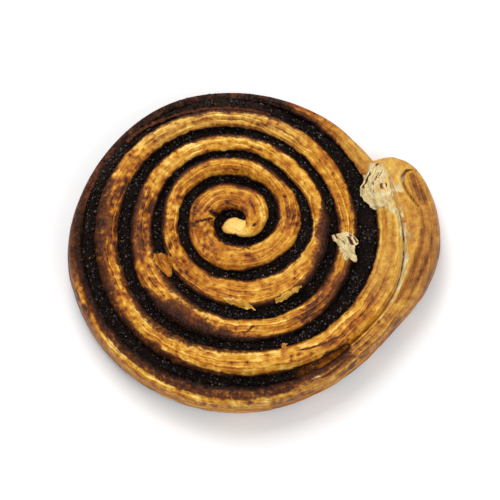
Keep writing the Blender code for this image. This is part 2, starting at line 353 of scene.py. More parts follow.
# How brown the strip is along its length, from 0, pale, to 1, burnt.
BAKE_ALONG = (
    (-405, 0.02), (-60, 0.02), (-25, 0.08), (10, 0.18), (45, 0.38), (70, 0.56), (110, 0.58), (160, 0.46),
    (220, 0.42), (270, 0.42), (340, 0.42), (420, 0.45), (480, 0.48), (530, 0.42), (560, 0.48), (590, 0.54),
    (630, 0.42), (680, 0.38), (720, 0.42), (765, 0.40), (810, 0.30), (850, 0.22), (868, 0.26), (880, 0.50),
    (910, 0.54), (940, 0.44), (980, 0.38), (1020, 0.44), (1050, 0.54), (1080, 0.42), (1120, 0.44),
    (1160, 0.41), (1210, 0.39), (1230, 0.46), (1265, 0.52), (1290, 0.42), (1330, 0.36), (1380, 0.34),
    (1410, 0.42), (1440, 0.34), (1476, 0.45), (1500, 0.60), (1516, 0.72), (1530, 0.86), (1600, 0.84),
    (1630, 0.70), (1652, 0.58), (1672, 0.42), (1700, 0.36), (1735, 0.45), (1755, 0.48), (1775, 0.50),
    (1800, 0.46), (1829, 0.32),
)
# Places that came out of the oven otherwise: turn angle, share across, half length in degrees, half
# width as a share of the strip, and how much browner or paler.
BAKE_SPOTS = (
    (58.0, 0.24, 24.0, 0.26, 0.12), (100.0, 0.80, 60.0, 0.16, -0.06),
    (20.0, 0.85, 45.0, 0.14, -0.16), (175.0, 0.86, 30.0, 0.10, 0.22),
    (292.0, 0.62, 10.0, 0.22, 0.28), (250.0, 0.20, 26.0, 0.20, 0.16),
    (372.0, 0.62, 12.0, 0.34, 0.30), (590.0, 0.45, 22.0, 0.50, 0.06),
    (905.0, 0.50, 9.0, 0.24, 0.34), (890.0, 0.16, 10.0, 0.20, 0.30),
    (1250.0, 0.30, 26.0, 0.28, 0.14), (1262.0, 0.72, 10.0, 0.10, -0.35),
    (1038.0, 0.60, 18.0, 0.42, 0.26), (1125.0, 0.86, 24.0, 0.22, 0.18),
    (1500.0, 0.75, 22.0, 0.50, 0.08), (1403.0, 0.60, 22.0, 0.16, 0.16),
    (1461.0, 0.20, 6.0, 0.14, 0.26), (1745.0, 0.62, 16.0, 0.18, 0.18),
    (1675.0, 0.66, 40.0, 0.14, -0.16),
)
# Bare raw dough that shows in tears: turn angle, share across, half length, half width, amount.
TORN_SPOTS = (
    (1069.0, 0.62, 6.0, 0.50, 0.8), (1456.0, 0.50, 10.0, 0.50, 0.6),
    (1822.0, 0.25, 8.0, 0.35, 0.42), (1800.0, 0.80, 16.0, 0.24, 0.30),
    (1790.0, 0.16, 24.0, 0.16, 0.36), (1738.0, 0.40, 2.2, 0.14, 0.9),
)
# Single marks in plan, in millimetres from the eye: half width, rise, browning, smear and rawness, then the
# line that each one follows. In furrows and folds the browning is painted shade.
MARKS = (
    # Crack out of the pool.
    (0.3, -0.6, 0.3, 1.0, 0.0, ((-8.8, 3.9), (-10.5, 3.3), (-13.0, 2.7), (-17.0, 1.8))),
    # Brown spot at the crack's end.
    (1.0, 0.0, 0.45, 0.0, 0.0, ((-16.6, 1.4), (-15.2, 1.0))),
    # Pale ridge on the first turn.
    (0.42, 0.3, -0.24, 0.0, 0.08, (
        (-12.3, 5.9), (-11.5, 8.5), (-8.9, 11.2), (-5.2, 13.3), (-1.0, 14.4), (3.2, 14.4), (6.8, 12.5),
        (9.0, 8.5), (9.6, 4.5), (9.2, 0.9),
    )),
    # Second pale ridge.
    (0.35, 0.25, -0.2, 0.0, 0.05, ((7.9, 13.2), (10.2, 9.6), (11.1, 5.4), (10.6, 1.2))),
    # Brown patch inside the ridge.
    (1.0, -0.1, 0.26, 0.0, 0.0, ((5.4, 11.2), (6.6, 8.5), (7.2, 5.6))),
    # Pool's ragged end.
    (0.8, -0.6, 0.2, 1.0, 0.0, ((-10.2, 6.8), (-7.8, 5.7), (-5.4, 5.6))),
    # Dark hole beside the tongue.
    (0.7, -0.8, 0.3, 0.9, 0.0, ((6.8, 1.9), (7.1, 1.1))),
    # Fold at the strip's end, browned with painted shade in the crease.
    (0.45, -1.0, 0.55, 0.0, 0.0, (
        (66.8, 24.1), (64.5, 23.7), (63.0, 21.4), (63.4, 18.4), (64.9, 15.3), (67.1, 12.3), (69.4, 9.6),
    )),
    # Brown hollow of the fold: painted shade where it sinks.
    (2.1, -0.6, 0.36, 0.0, 0.0, ((66.8, 21.8), (68.2, 18.0), (70.5, 13.8), (72.0, 10.4))),
    # Lip of the fold.
    (0.7, 0.45, -0.15, 0.0, 0.1, ((62.2, 24.1), (61.5, 21.1), (62.2, 17.3), (64.1, 13.8), (66.8, 10.4))),
    # Outer layer line, a furrow darkened with painted shade.
    (0.85, -0.85, 0.24, 0.0, 0.0, (
        (70.1, 9.1), (70.9, 3.7), (69.8, -4.7), (67.1, -13.0), (63.8, -21.4), (60.0, -27.5),
    )),
    # Outer layer ridge.
    (1.0, 0.45, -0.12, 0.0, 0.0, (
        (68.6, 7.5), (69.0, 2.2), (67.9, -5.4), (65.2, -13.0), (61.9, -20.6), (57.8, -27.1),
    )),
    # Dry outer side of the strip's end.
    (2.4, 0.0, 0.14, 0.0, 0.0, ((74.0, 8.0), (74.0, -2.0), (71.0, -12.0), (65.5, -22.0))),
    # Second layer line, a furrow darkened with painted shade.
    (0.7, -0.6, 0.20, 0.0, 0.0, (
        (74.2, -0.1), (73.5, -6.9), (70.9, -13.8), (67.5, -20.6), (63.0, -28.3),
    )),
    # Line inside the crack, a furrow darkened with painted shade.
    (0.8, -0.4, 0.10, 0.0, 0.0, (
        (59.2, 6.4), (59.6, -0.4), (58.5, -8.8), (55.9, -17.9), (51.8, -26.3), (45.8, -33.9),
    )),
    # Line beside the groove, a furrow darkened with painted shade.
    (0.85, -0.6, 0.17, 0.0, 0.0, (
        (55.5, 8.7), (56.2, 2.6), (55.5, -5.8), (52.5, -15.7), (48.0, -23.3), (41.2, -31.7),
    )),
    # Pale dough beside the crack.
    (1.3, 0.15, -0.1, 0.0, 0.55, ((56.2, 13.3), (58.9, 9.5), (60.8, 4.1), (62.2, -2.0))),
    # Streak out of the groove's end.
    (0.8, -0.35, 0.3, 0.75, 0.0, ((24.0, -53.2), (29.2, -52.0), (35.2, -49.4), (41.2, -45.2))),
    # Second streak.
    (0.55, -0.3, 0.4, 0.55, 0.0, ((32.2, -55.8), (36.0, -53.6), (39.8, -50.1), (42.8, -47.1))),
    # Third streak.
    (0.5, -0.2, 0.4, 0.4, 0.0, ((36.8, -57.0), (41.2, -53.2), (45.0, -49.0))),
    # Dark line on the outer turn.
    (0.35, -0.3, 0.4, 0.6, 0.0, ((22.5, -46.1), (27.8, -45.0), (33.8, -43.1), (39.8, -40.0))),
    # Dark mark on the third turn.
    (0.35, -0.3, 0.4, 0.8, 0.0, ((4.5, -38.9), (6.0, -37.3), (6.8, -37.0))),
)
# Torn sheets of dough that lie over grooves: name, height at the one edge and at the other, in
# millimetres, how brown, how raw at each edge, how many slits, and the two edges in plan.
SHEETS = (
    ("torn_web", (17.9, 18.8), 0.30, (0.9, 0.62), 0.6,
     ((50.6, 26.1), (49.1, 20.8), (46.7, 16.4), (47.6, 12.8), (50.3, 9.5), (52.9, 8.2)),
     ((54.0, 25.9), (57.0, 23.1), (57.9, 19.3), (58.5, 15.5), (57.9, 11.7), (55.5, 8.8))),
    ("torn_patch", (22.3, 23.4), 0.35, (0.7, 0.95), 0.6,
     ((35.8, -2.5), (38.0, -6.3), (40.3, -9.6), (44.9, -12.6)),
     ((41.5, -1.1), (45.9, -4.7), (44.4, -7.6), (45.3, -12.4))),
    ("pale_flake", (22.6, 22.6), 0.24, (0.36, 0.2), 0.0,
     ((-5.0, -26.8), (-0.8, -26.9), (3.8, -27.9), (7.3, -30.7)),
     ((-3.8, -28.0), (0.0, -29.4), (4.1, -30.4), (7.3, -30.9))),
    ("second_flake", (22.8, 22.8), 0.26, (0.2, 0.36), 0.3,
     ((14.6, -27.2), (18.0, -25.2), (21.4, -23.2), (24.5, -21.9)),
     ((15.0, -28.5), (18.8, -26.9), (22.0, -24.7), (24.7, -22.4))),
    ("grey_flake", (19.5, 19.5), 0.5, (0.25, 0.4), 0.5,
     ((17.3, -42.8), (16.7, -45.6), (17.4, -48.3)),
     ((19.3, -43.0), (18.7, -45.6), (17.9, -48.3))),
    ("bridge_flake", (21.6, 21.8), 0.55, (-0.25, 0.3), 0.0,
     ((-30.4, -9.6), (-30.6, -12.4), (-28.8, -15.2), (-26.2, -17.6), (-24.6, -18.2)),
     ((-28.0, -9.0), (-25.4, -10.2), (-23.9, -12.8), (-23.9, -15.5), (-23.9, -17.4))),
)


def spot_strength(spots, angle, share, wobble):
    """Sum of soft-edged spots, their outlines made ragged by the wobble."""
    total = np.zeros(np.broadcast(angle, share).shape)
    for turn_angle, middle, half_length, half_width, amount in spots:
        along = (angle - turn_angle) / half_length
        across = (share - middle) / half_width
        far = np.sqrt(along**2 + across**2) + wobble
        total += amount * ease(1.15, 0.75, far)
    return total


def line_distance(x, y, points):
    """Distance from each place to a broken line, and how far along the line, from 0 to 1."""
    best = np.full(x.shape, 1e9)
    along = np.zeros(x.shape)
    pieces = len(points) - 1
    for i, ((x0, y0), (x1, y1)) in enumerate(zip(points, points[1:])):
        dx, dy = x1 - x0, y1 - y0
        t = np.clip(((x - x0) * dx + (y - y0) * dy) / (dx * dx + dy * dy), 0.0, 1.0)
        far = np.hypot(x - x0 - t * dx, y - y0 - t * dy)
        nearer = far < best
        best = np.where(nearer, far, best)
        along = np.where(nearer, (i + t) / pieces, along)
    return best, along


def plan_marks(x, y, wobble):
    """Height, browning (in furrows and folds painted shade), smear and rawness that the single marks add.
    """
    total = np.zeros((4, *x.shape))
    for half_width, *amounts, points in MARKS:
        far, along = line_distance(x, y, points)
        taper = 0.35 + 0.65 * ease(0.0, 0.2, along) * ease(1.0, 0.8, along)
        profile = np.exp(-((far + 0.35 * half_width * wobble) / (half_width * taper)) ** 2)
        for row, amount in enumerate(amounts):
            total[row] += amount * profile
    return total


# Widths of groove from which its edges are as ragged, and the dough beside it as smeared, as anywhere.
RAGGED_FROM = 1.5
SMEARED_FROM = 1.2
LEAST_WIDTH = 1e-6


def openness(angle, full):
    """0 where the groove is closed, 1 where it is as wide as given or wider."""
    return np.clip(groove_width(angle) / full, 0.0, 1.0)


class Strip:
    """The rolled strip of dough at every station, all in millimetres from the eye."""

    def __init__(self, angle):
        self.angle = angle
        self.length = strip_length(angle)
        self.rim = angle + TURN > NOTCH_ANGLE
        ragged_in = self.ragged(11) * openness(angle, RAGGED_FROM)
        ragged_out = self.ragged(17) * openness(angle + TURN, RAGGED_FROM)
        inner = seam_radius(angle) + groove_width(angle) / 2 + ragged_in
        outer = seam_radius(angle + TURN) - groove_width(angle + TURN) / 2 + ragged_out
        self.inner = polar(angle, inner)
        rim_edge = rim_point(angle, self.rim_inset(inner, np.full(len(angle), 1.0)))
        self.outer = np.where(self.rim[:, None], rim_edge, polar(angle, outer))
        self.width = np.maximum(np.linalg.norm(self.outer - self.inner, axis=1), LEAST_WIDTH)
        self.inner_edge = edge_height(angle)
        rim_height = smooth(RIM_EDGE_HEIGHT, angle)
        self.outer_edge = np.where(self.rim, rim_height, edge_height(angle + TURN))
        self.crown = crown_height(angle)

    def ragged(self, seed):
        """How far the groove's edge strays, in long and short waves."""
        return 0.22 * noise(seed, self.length / 3.1) + 0.14 * noise(seed + 1, self.length / 0.9)

    def rim_inset(self, inner_radius, share):
        """How far the side draws in at a share of its height."""
        thickness = smooth(RIM_RADIUS, self.angle) - inner_radius
        at, inset = zip(*SIDE_INSETS)
        from_notch = np.minimum(self.angle + TURN - NOTCH_ANGLE, NOTCH_ANGLE - self.angle)
        blend = np.clip(from_notch / SIDE_BLEND, 0.0, 1.0)
        return blend * np.minimum(np.interp(share, at, inset), SIDE_INSET_LIMIT * thickness)


def layer_relief(angle, share):
    """The layer steps and tears of the solid."""
    height = np.zeros(np.broadcast(angle, share).shape)
    for middle, depth, count, phase in LAYER_STEPS:
        across = np.clip(1 - ((share - middle) / LAYER_HALF_WIDTH) ** 2, 0.0, 1.0)
        swell = 1 - np.sin(np.radians(angle) * count + phase)
        height -= depth * across * (1 - LAYER_SWELL * swell)
    height *= calm_ends(angle)
    for turn_angle, middle, half_length, half_width, rise in TEARS:
        along = (angle - turn_angle) / half_length
        across = (share - middle) / half_width
        height += rise * np.maximum(0.0, 1 - along**2 - across**2) ** 0.5
    return height * np.clip(np.minimum(share, 1 - share) / EDGE_FADE, 0.0, 1.0)


LAYER_SPACING = 2.1
LAYER_DEPTH = 0.36
WALL_LAYER_SPACING = 1.7
# Keeps the breaks of one layer's edge apart from those of the next.
LAYER_SHIFT = 5.3
# Painted highlight along each strip's north side: how far it lies from the strip's north edge and how wide
# it is, in millimetres.
PAINTED_HIGHLIGHT = (2.1, 1.4)
MOST_BAKED = 0.92


def layer_lines(length, across):
    """How many layer edges have been crossed, as a number that grows smoothly, and their strength."""
    drift = 0.50 * noise(21, length / 24.0) + 0.20 * noise(22, length / 6.5, across / 3.0)
    count = across / LAYER_SPACING + drift
    strength = ease(-0.55, 0.5, noise(23, length / 10.0, np.floor(count) * LAYER_SHIFT))
    return count, strength


def layer_step(count):
    """A slow rise to each layer's edge and a short drop after it, from 0 to 1."""
    step = count - np.floor(count)
    return step * ease(1.0, 0.76, step)


def soft_centre(angle):
    """1 on the tongue in the middle and 0 on the turns round it."""
    return ease(*TONGUE, angle)


# Amount, seed and size of the filling's own unevenness.
FILLING_LUMPS = ((0.36, 51, 1.9), (0.26, 52, 0.8))
HEAP_LEVEL = 15.9
HEAP_RISE = 2.3
SYRUP_RISE = 1.7


def heaped(angle):
    """1 on the north side, where the filling is heaped up to the outer side, and 0 elsewhere."""
    return within(HEAPED, angle)


def south_facing(angle):
    """1 where the strip's inner slope faces south and 0 where its outer slope does."""
    return 0.5 + 0.5 * np.sin(np.radians(angle))


def rim_fringe(angle, length):
    """How strongly the rim's upper edge has browned, patch by patch."""
    patches = noise(55, length / 8.0) + 0.5 * noise(61, length / 2.2)
    return ease(*RIM_FRINGE, angle) * ease(0.0, 0.6, patches)


def dough_top(strip):
    """The strip's upper side as a grid of points, with how each was baked and the light and shade painted
    on it.
    """
    share = 0.5 - 0.5 * np.cos(np.linspace(0.0, np.pi, TOP_POINTS))
    share = (0.55 * share + 0.45 * np.linspace(0.0, 1.0, TOP_POINTS))[None, :]
    angle, length, width = (a[:, None] for a in (strip.angle, strip.length, strip.width))
    crown = strip.crown[:, None]
    inner_edge, outer_edge = strip.inner_edge[:, None], strip.outer_edge[:, None]
    plan = strip.inner[:, None] + (strip.outer - strip.inner)[:, None] * share[..., None]
    shoulder = np.minimum(0.5, SHOULDER_LENGTH / width)
    from_in, from_out = width * share, width * (1 - share)
    height = (
        crown
        + layer_relief(angle, share)
        - (crown - inner_edge) * fall_shape(share / shoulder)
        - (crown - outer_edge) * fall_shape((1 - share) / shoulder)
    )
    x, y = plan[..., 0], plan[..., 1]

    def in_plan(seed, size):
        return noise(seed, x / size, y / size)

    rim = strip.rim[:, None]
    beyond = angle > GROOVE_END
    beside_tail = within(BESIDE_TAIL, angle)
    tail = np.maximum(ease(*TAIL, angle), beside_tail)
    soft = ease(*PAST_EYE, angle) * (1 - 0.55 * tail) + 0 * share
    count, strength = layer_lines(length, from_in)
    strength = strength * soft * (0.55 + 0.45 * ease(*FULL_LAYERS, angle))
    step = layer_step(count)
    streak = noise(25, length / 6.0, from_in / 0.8) + 0.6 * noise(26, length / 2.4, from_in / 0.45)
    lump = in_plan(27, 3.4) + 0.5 * in_plan(28, 1.5)
    grit = in_plan(29, 0.7)
    wobble = 0.55 * in_plan(31, 2.4) + 0.45 * in_plan(32, 1.0)
    inside = ease(0.0, 0.9, np.minimum(from_in, from_out)) * ease(0.0, 30.0, length - 8.0)
    keep = np.where(rim, ease(0.0, 0.6, from_in) * ease(0.0, 0.4, from_out), inside)
    # The marks' browning holds painted shade in the furrows and folds.
    rise, brown, dark, raw = plan_marks(x, y, wobble)
    height = height + keep * (LAYER_DEPTH * strength * (step - 0.3) + 0.07 * streak * soft)
    height = height + inside * (0.13 * lump + 0.06 * grit + rise)

    heap = rim * heaped(angle)
    clump = in_plan(48, 1.3) + 0.6 * in_plan(49, 0.6)
    height = height - 0.8 * heap * keep * np.maximum(0.0, height - HEAP_LEVEL)
    height = height + 0.24 * clump * heap * keep

    facing = south_facing(angle)
    drift = angle + 6.0 * in_plan(58, 2.6)
    reach_in = plain(around(SMEAR_PAST_GROOVE, SMEAR_STEP), drift)
    reach_out = plain(around(SMEAR_BEFORE_GROOVE, SMEAR_STEP), drift + TURN)
    open_in = openness(angle, SMEARED_FROM)
    open_out = np.where(rim, 0.0, openness(angle + TURN, SMEARED_FROM))
    uneven = 0.5 * wobble + 0.22 * streak
    smear = 0.0
    for reach, away, opened, seed in (
        (reach_in, from_in, open_in, 33), (reach_out, from_out, open_out, 34)
    ):
        reach = reach * (1 + 0.3 * noise(seed, length / 4.5))
        reach = np.maximum(0.05, reach + 0.15 + 0.12 * noise(seed + 26, length / 1.6))
        smear = np.maximum(smear, opened * np.clip(1 - (away / reach + 0.5 * uneven) / 2.2, 0.0, 1.0))
    patchy = 0.80 + 0.28 * in_plan(40, 2.4) + 0.28 * in_plan(47, 0.9)
    smear = smear * (1 - heap) + np.minimum(smear, patchy) * heap
    outside = np.where(rim, angle, angle + TURN)
    mottled = within(MOTTLED_RIM, outside)
    solid = ease(2.4, 1.2, from_in - 1.4 * ease(*WIDE_SMEAR, angle) + 0.6 * wobble)
    solid = solid * ease(*SOLID_SMEAR, angle)
    mottled = mottled * (1 - rim * solid * ease(*SOLID_SMEAR_END, angle))
    cap = 0.5 + 0.22 * in_plan(56, 1.6) + 0.14 * in_plan(57, 0.7)
    smear = smear * (1 - mottled) + np.minimum(smear, cap) * mottled
    band = rim * ease(*RIM_BAND, angle)
    smear = smear * (1 - band * ease(3.4, 2.2, from_out + 0.7 * wobble))
    west = ease(0.55, 0.95, -np.cos(np.radians(angle)))
    blotch = 0.10 * in_plan(35, 3.6) + 0.15 * in_plan(36, 1.3)
    spots = ease(0.35, 0.7, in_plan(37, 1.0)) * ease(-0.1, 0.5, in_plan(38, 8.0))
    bake = plain(BAKE_ALONG, angle) + 0.0 * share
    # Browner towards the groove's edges, partly browning beside the filling and partly painted shade down
    # into the groove; how much depends on which way the slope faces.
    bake = bake + open_in * (0.16 - 0.10 * facing) * np.exp(-from_in / 0.8)
    bake = bake + open_out * (0.08 + 0.10 * facing) * np.exp(-from_out / 0.9)
    # Painted highlight: lighter along the strip's north side, which faces the light, and a little browner
    # elsewhere on the middle turns.
    highlight_at, highlight_width = PAINTED_HIGHLIGHT
    painted_highlight = facing * np.exp(-(((from_out - highlight_at) / highlight_width) ** 2))
    painted_highlight = painted_highlight + (1 - facing) * np.exp(-(((from_in - highlight_at) / highlight_width) ** 2))
    bake = bake + (0.05 - 0.17 * painted_highlight) * within(MIDDLE_TURNS, angle)
    bake = bake + blotch * (1 + 1.1 * west) * soft + 0.26 * spots * soft + 0.06 * west
    bake = bake - 0.07 * streak * soft + brown
    bake = bake + spot_strength(BAKE_SPOTS, angle, share, 0.35 * wobble)
    bake = bake + 0.26 * ease(4.0, 8.5, x) * soft_centre(angle)
    bake = bake + 0.4 * rim * rim_fringe(angle, length) * np.exp(-from_out / (0.8 + 0.3 * wobble))
    paler = band * ease(*RIM_BAND_END, angle) * (1 + 0.8 * noise(59, length / 14.0, from_out / 0.5))
    bake = bake - 0.07 * paler * np.exp(-(((from_out - 1.9) / 1.0) ** 2))
    bake = bake + 0.10 * band * ease(2.6, 3.4, from_out) * ease(*RIM_BAND_END, angle)
    bake = np.minimum(bake, MOST_BAKED)
    torn = spot_strength(TORN_SPOTS, angle, share, 0.5 * wobble) + raw

    crease = np.where(beyond, from_in, np.where(~rim & (angle + TURN > GROOVE_END), from_out, 99.0))
    turned = np.where(beyond, angle, angle + TURN)
    lips = 0.12 + 0.36 * within(TORN_LIPS, turned)
    torn = torn + lips * ease(2.0, 0.5, crease + 0.6 * wobble)
    # Painted shade: a dark broken line down the middle of the crack, laid in as smear.
    crack_shade = ease(0.28, 0.10, crease + 0.2 * wobble) * ease(-0.35, 0.1, noise(39, length / 3.2))
    crack_shade = crack_shade * within(SHADED_CRACK, turned)
    smear = np.maximum(smear, np.maximum(0.7 * crack_shade, dark))
    ochre = ease(*OCHRE_TAIL, angle) + beside_tail + within(OCHRE_SOUTH, angle) + 0 * share
    points = lift(plan, height)
    uv = strip_uv(length, from_in)
    paint = {
        "bake": bake,
        "smear": np.clip(smear, 0.0, 1.0),
        "torn": np.clip(torn, 0.0, 1.0),
        "layer": count,
        "edge": strength * keep,
        "soft": soft,
        "ochre": ochre,
        "grain": ease(0.5, 0.9, smear) * ease(0.0, 0.5, np.minimum(from_in, from_out)),
    }
    return points, uv, paint


def wall_paint(shape, **given):
    """Point values for a grid, nought where not given."""
    keys = ("bake", "smear", "torn", "layer", "edge", "soft", "ochre", "grain")
    return {key: given.get(key, 0.0) + np.zeros(shape) for key in keys}


def syrup(angle):
    """1 where the groove runs out and its filling has boiled down to a brown glaze."""
    return ease(*SYRUP, angle)


def groove_wall(place, edge, length, outer, glazed):
    """The wall of an open groove, from its foot up to the dough's edge."""
    share = np.array(GROOVE_WALL_SHARES)[None, :]
    height = edge[:, None] * share
    plan = np.repeat(place[:, None], share.shape[1], axis=1)
    points = lift(plan, height)
    uv = strip_uv(length[:, None], height + (GROOVE_UV if outer else -GROOVE_UV))
    return points, uv, wall_paint(height.shape, bake=0.7, smear=1.0 - 0.8 * glazed[:, None], soft=1.0)


def rim_wall(strip):
    """The baked outer side, whose layers show as long lines, burnt where it met the tray."""
    share = np.linspace(0.0, 1.0, RIM_WALL_ROWS)
    inner = np.linalg.norm(strip.inner, axis=1)
    rows = [rim_point(strip.angle, strip.rim_inset(inner, s)) for s in share]
    plan = np.stack(rows, axis=1)
    edge = strip.outer_edge[:, None]
    height = edge * share[None, :]
    length, angle = strip.length[:, None], strip.angle[:, None]
    across = height + 0.8 * noise(41, length / 12.0)
    line = np.sin(2 * np.pi * across / LAYER_SPACING + 2.0 * noise(42, length / 22.0))
    streak = noise(43, length / 6.0, across / 0.7)
    middle = np.sin(np.pi * share)[None, :]
    from_notch = np.minimum(strip.angle + TURN - NOTCH_ANGLE, NOTCH_ANGLE - strip.angle)
    calm = ease(0.0, 8.0, from_notch)[:, None]
    carve = middle * calm * (0.22 + 0.16 * line + 0.10 * streak)
    normal = plan[:, -1] - rim_point(strip.angle, np.full(len(strip.angle), 3.0))
    normal /= np.linalg.norm(normal, axis=1, keepdims=True)
    plan = plan - normal[:, None] * carve[..., None]
    bake = plain(BAKE_ALONG, angle) + 0.06 - 0.10 * line - 0.06 * streak
    south = within(BURNT_WALL, angle)
    burnt = ease(5.5, 1.5, height + 3.0 * noise(44, length / 6.0)) * (0.35 + 0.3 * south)
    lower = share[None, :] + 0.25 * noise(45, length / 3.0, across / 2.0)
    smear = within(SMEARED_WALL, angle) * ease(0.35, 0.85, lower)
    points = lift(plan, height)
    uv = strip_uv(length, across + RIM_UV)
    bake = bake + burnt + 0.16 * noise(46, length / 5.0, across / 2.0)
    bake = bake + 0.4 * rim_fringe(angle, length) * np.exp(-(edge - height) / 1.4)
    count = across / WALL_LAYER_SPACING + 0.5 * noise(50, length / 15.0)
    edge = calm * ease(-0.5, 0.4, noise(54, length / 8.0, np.floor(count) * LAYER_SHIFT)) * (1 - smear)
    paint = wall_paint(bake.shape, bake=bake, smear=smear, soft=1.0, layer=count, edge=edge)
    return points, uv, paint


def dough_foot(strip):
    """The flat underside between the strip's two walls."""
    foot_share = np.zeros(len(strip.angle))
    inner = np.linalg.norm(strip.inner, axis=1)
    rim_foot = rim_point(strip.angle, strip.rim_inset(inner, foot_share))
    outer = np.where(strip.rim[:, None], rim_foot, strip.outer)
    plan = np.stack((outer, (outer + strip.inner) / 2, strip.inner), axis=1)
    points = lift(plan, np.zeros(plan.shape[:2]))
    uv = strip_uv(strip.length[:, None], np.array((FOOT_UV,)))
    return points, uv, wall_paint(points.shape[:2], bake=0.62, soft=1.0)


def grid_mesh(name, grids, lowest, highest, fill_ends=False):
    """One welded closed mesh from grids of points, each with its strip UVs and point values."""
    verts, faces, uvs, values = [], [], [], {}
    start = 0
    for points, uv, paint in grids:
        rows, columns = points.shape[:2]
        index = start + np.arange(rows * columns).reshape(rows, columns)
        quads = np.stack(
            (index[:-1, :-1], index[1:, :-1], index[1:, 1:], index[:-1, 1:]), axis=2
        ).reshape(-1, 4)
        verts.append(points.reshape(-1, 3))
        faces.append(quads)
        uvs.append(uv.reshape(-1, 2))
        for key, value in paint.items():
            values.setdefault(key, []).append(np.broadcast_to(value, (rows, columns)).ravel())
        start += rows * columns
    verts = np.concatenate(verts)
    place = (verts + np.array((*EYE, 0.0))) * MM
    place = np.clip(place, np.array(lowest), np.array(highest))
    faces, uvs = np.concatenate(faces), np.concatenate(uvs) * MM
    mesh = bpy.data.meshes.new(name)
    mesh.from_pydata(place.tolist(), [], faces.tolist())
    layer = mesh.uv_layers.new(name="strip")
    corners = np.zeros(len(mesh.loops), np.int64)
    mesh.loops.foreach_get("vertex_index", corners)
    layer.data.foreach_set("uv", uvs[corners].astype(np.float32).ravel())
    for key, parts in values.items():
        attribute = mesh.attributes.new(key, "FLOAT", "POINT")
        attribute.data.foreach_set("value", np.concatenate(parts).astype(np.float32))
    edit = bmesh.new()
    edit.from_mesh(mesh)
    bmesh.ops.remove_doubles(edit, verts=edit.verts, dist=WELD)
    bmesh.ops.dissolve_degenerate(edit, edges=edit.edges, dist=WELD / 4)
    if fill_ends:
        bmesh.ops.holes_fill(edit, edges=[edge for edge in edit.edges if edge.is_boundary])
    bmesh.ops.recalc_face_normals(edit, faces=edit.faces)
    if any(len(edge.link_faces) != 2 for edge in edit.edges):
        raise RuntimeError(f"{name} isn't closed")
    edit.to_mesh(mesh)
    edit.free()
    mesh.shade_smooth()
    return mesh


def add_piece(name, mesh, material=None):
    """Puts a finished mesh into the scene as a piece that rides on the pastry."""
    if material is not None:
        mesh.materials.append(material)
    piece = bpy.data.objects.new(name, mesh)
    bpy.context.scene.collection.objects.link(piece)
    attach(piece, BODY)
    return piece


# ---- materials
def linear(red, green, blue):
    """A colour given as it looks on a screen, 0 to 255, made linear for the shader."""
    tones = [c / 255.0 for c in (red, green, blue)]
    return tuple(c / 12.92 if c <= 0.04045 else ((c + 0.055) / 1.055) ** 2.4 for c in tones)


class Nodes:
    """Short hand for building a node tree: most calls add a node and return its first output."""

    def __init__(self, tree):
        self.tree = tree

    def add(self, kind, settings=None, **inputs):
        """A new node, whose inputs are named, or counted as i0, i1 and so on."""
        node = self.tree.nodes.new(kind)
        for key, value in (settings or {}).items():
            setattr(node, key, value)
        self.put(node, **inputs)
        return node

    def put(self, node, **inputs):
        for key, value in inputs.items():
            socket = node.inputs[int(key[1:]) if key[1:].isdigit() else key.replace("_", " ")]
            if isinstance(value, bpy.types.NodeSocket):
                self.tree.links.new(value, socket)
            else:
                socket.default_value = value

    def math(self, operation, a, b=0.0, clamp=False):
        settings = {"operation": operation, "use_clamp": clamp}
        return self.add("ShaderNodeMath", settings, i0=a, i1=b).outputs[0]

    def times(self, a, b):
        return self.math("MULTIPLY", a, b)

    def plus(self, first, *others):
        for other in others:
            first = self.math("ADD", first, other)
        return first

    def centred(self, value, amount):
        """A 0 to 1 noise made to swing round nought by the amount."""
        return self.times(self.math("SUBTRACT", value, 0.5), amount)

    def mix(self, factor, a, b):
        return self.add("ShaderNodeMix", {"data_type": "RGBA"}, i0=factor, i6=a, i7=b).outputs[2]

    def noise(self, vector, scale, detail=3.0, roughness=0.55):
        inputs = {"Vector": vector, "Scale": scale, "Detail": detail, "Roughness": roughness}
        return self.add("ShaderNodeTexNoise", **inputs).outputs[0]

    def ramp(self, value, *stops):
        """Smooth steps of value: (position, colour) each."""
        node = self.add("ShaderNodeValToRGB", Fac=value)
        elements = node.color_ramp.elements
        while len(elements) < len(stops):
            elements.new(0.5)
        for element, (position, colour) in zip(elements, stops):
            element.position = position
            element.color = (*colour, 1.0)
        return node.outputs[0]

    def spread(self, value, low, high, to_low=0.0, to_high=1.0):
        """A smooth step of value, from one number to another."""
        settings = {"interpolation_type": "SMOOTHSTEP"}
        limits = {"From_Min": low, "From_Max": high, "To_Min": to_low, "To_Max": to_high}
        return self.add("ShaderNodeMapRange", settings, Value=value, **limits).outputs[0]

    def painted(self, *names):
        """The point values of these names."""
        return [self.add("ShaderNodeAttribute", {"attribute_name": name}).outputs["Fac"] for name in names]

    def place(self):
        return self.add("ShaderNodeTexCoord").outputs["Object"]

    def random(self, kind, **inputs):
        return self.add("FunctionNodeRandomValue", {"data_type": kind}, **inputs)

    def group(self, build, **inputs):
        """A node that holds the group of this build function, which is made once."""
        settings = {"node_tree": bpy.data.node_groups.get(build.__name__) or shader_group(build)}
        return self.add("ShaderNodeGroup", settings, **inputs).outputs


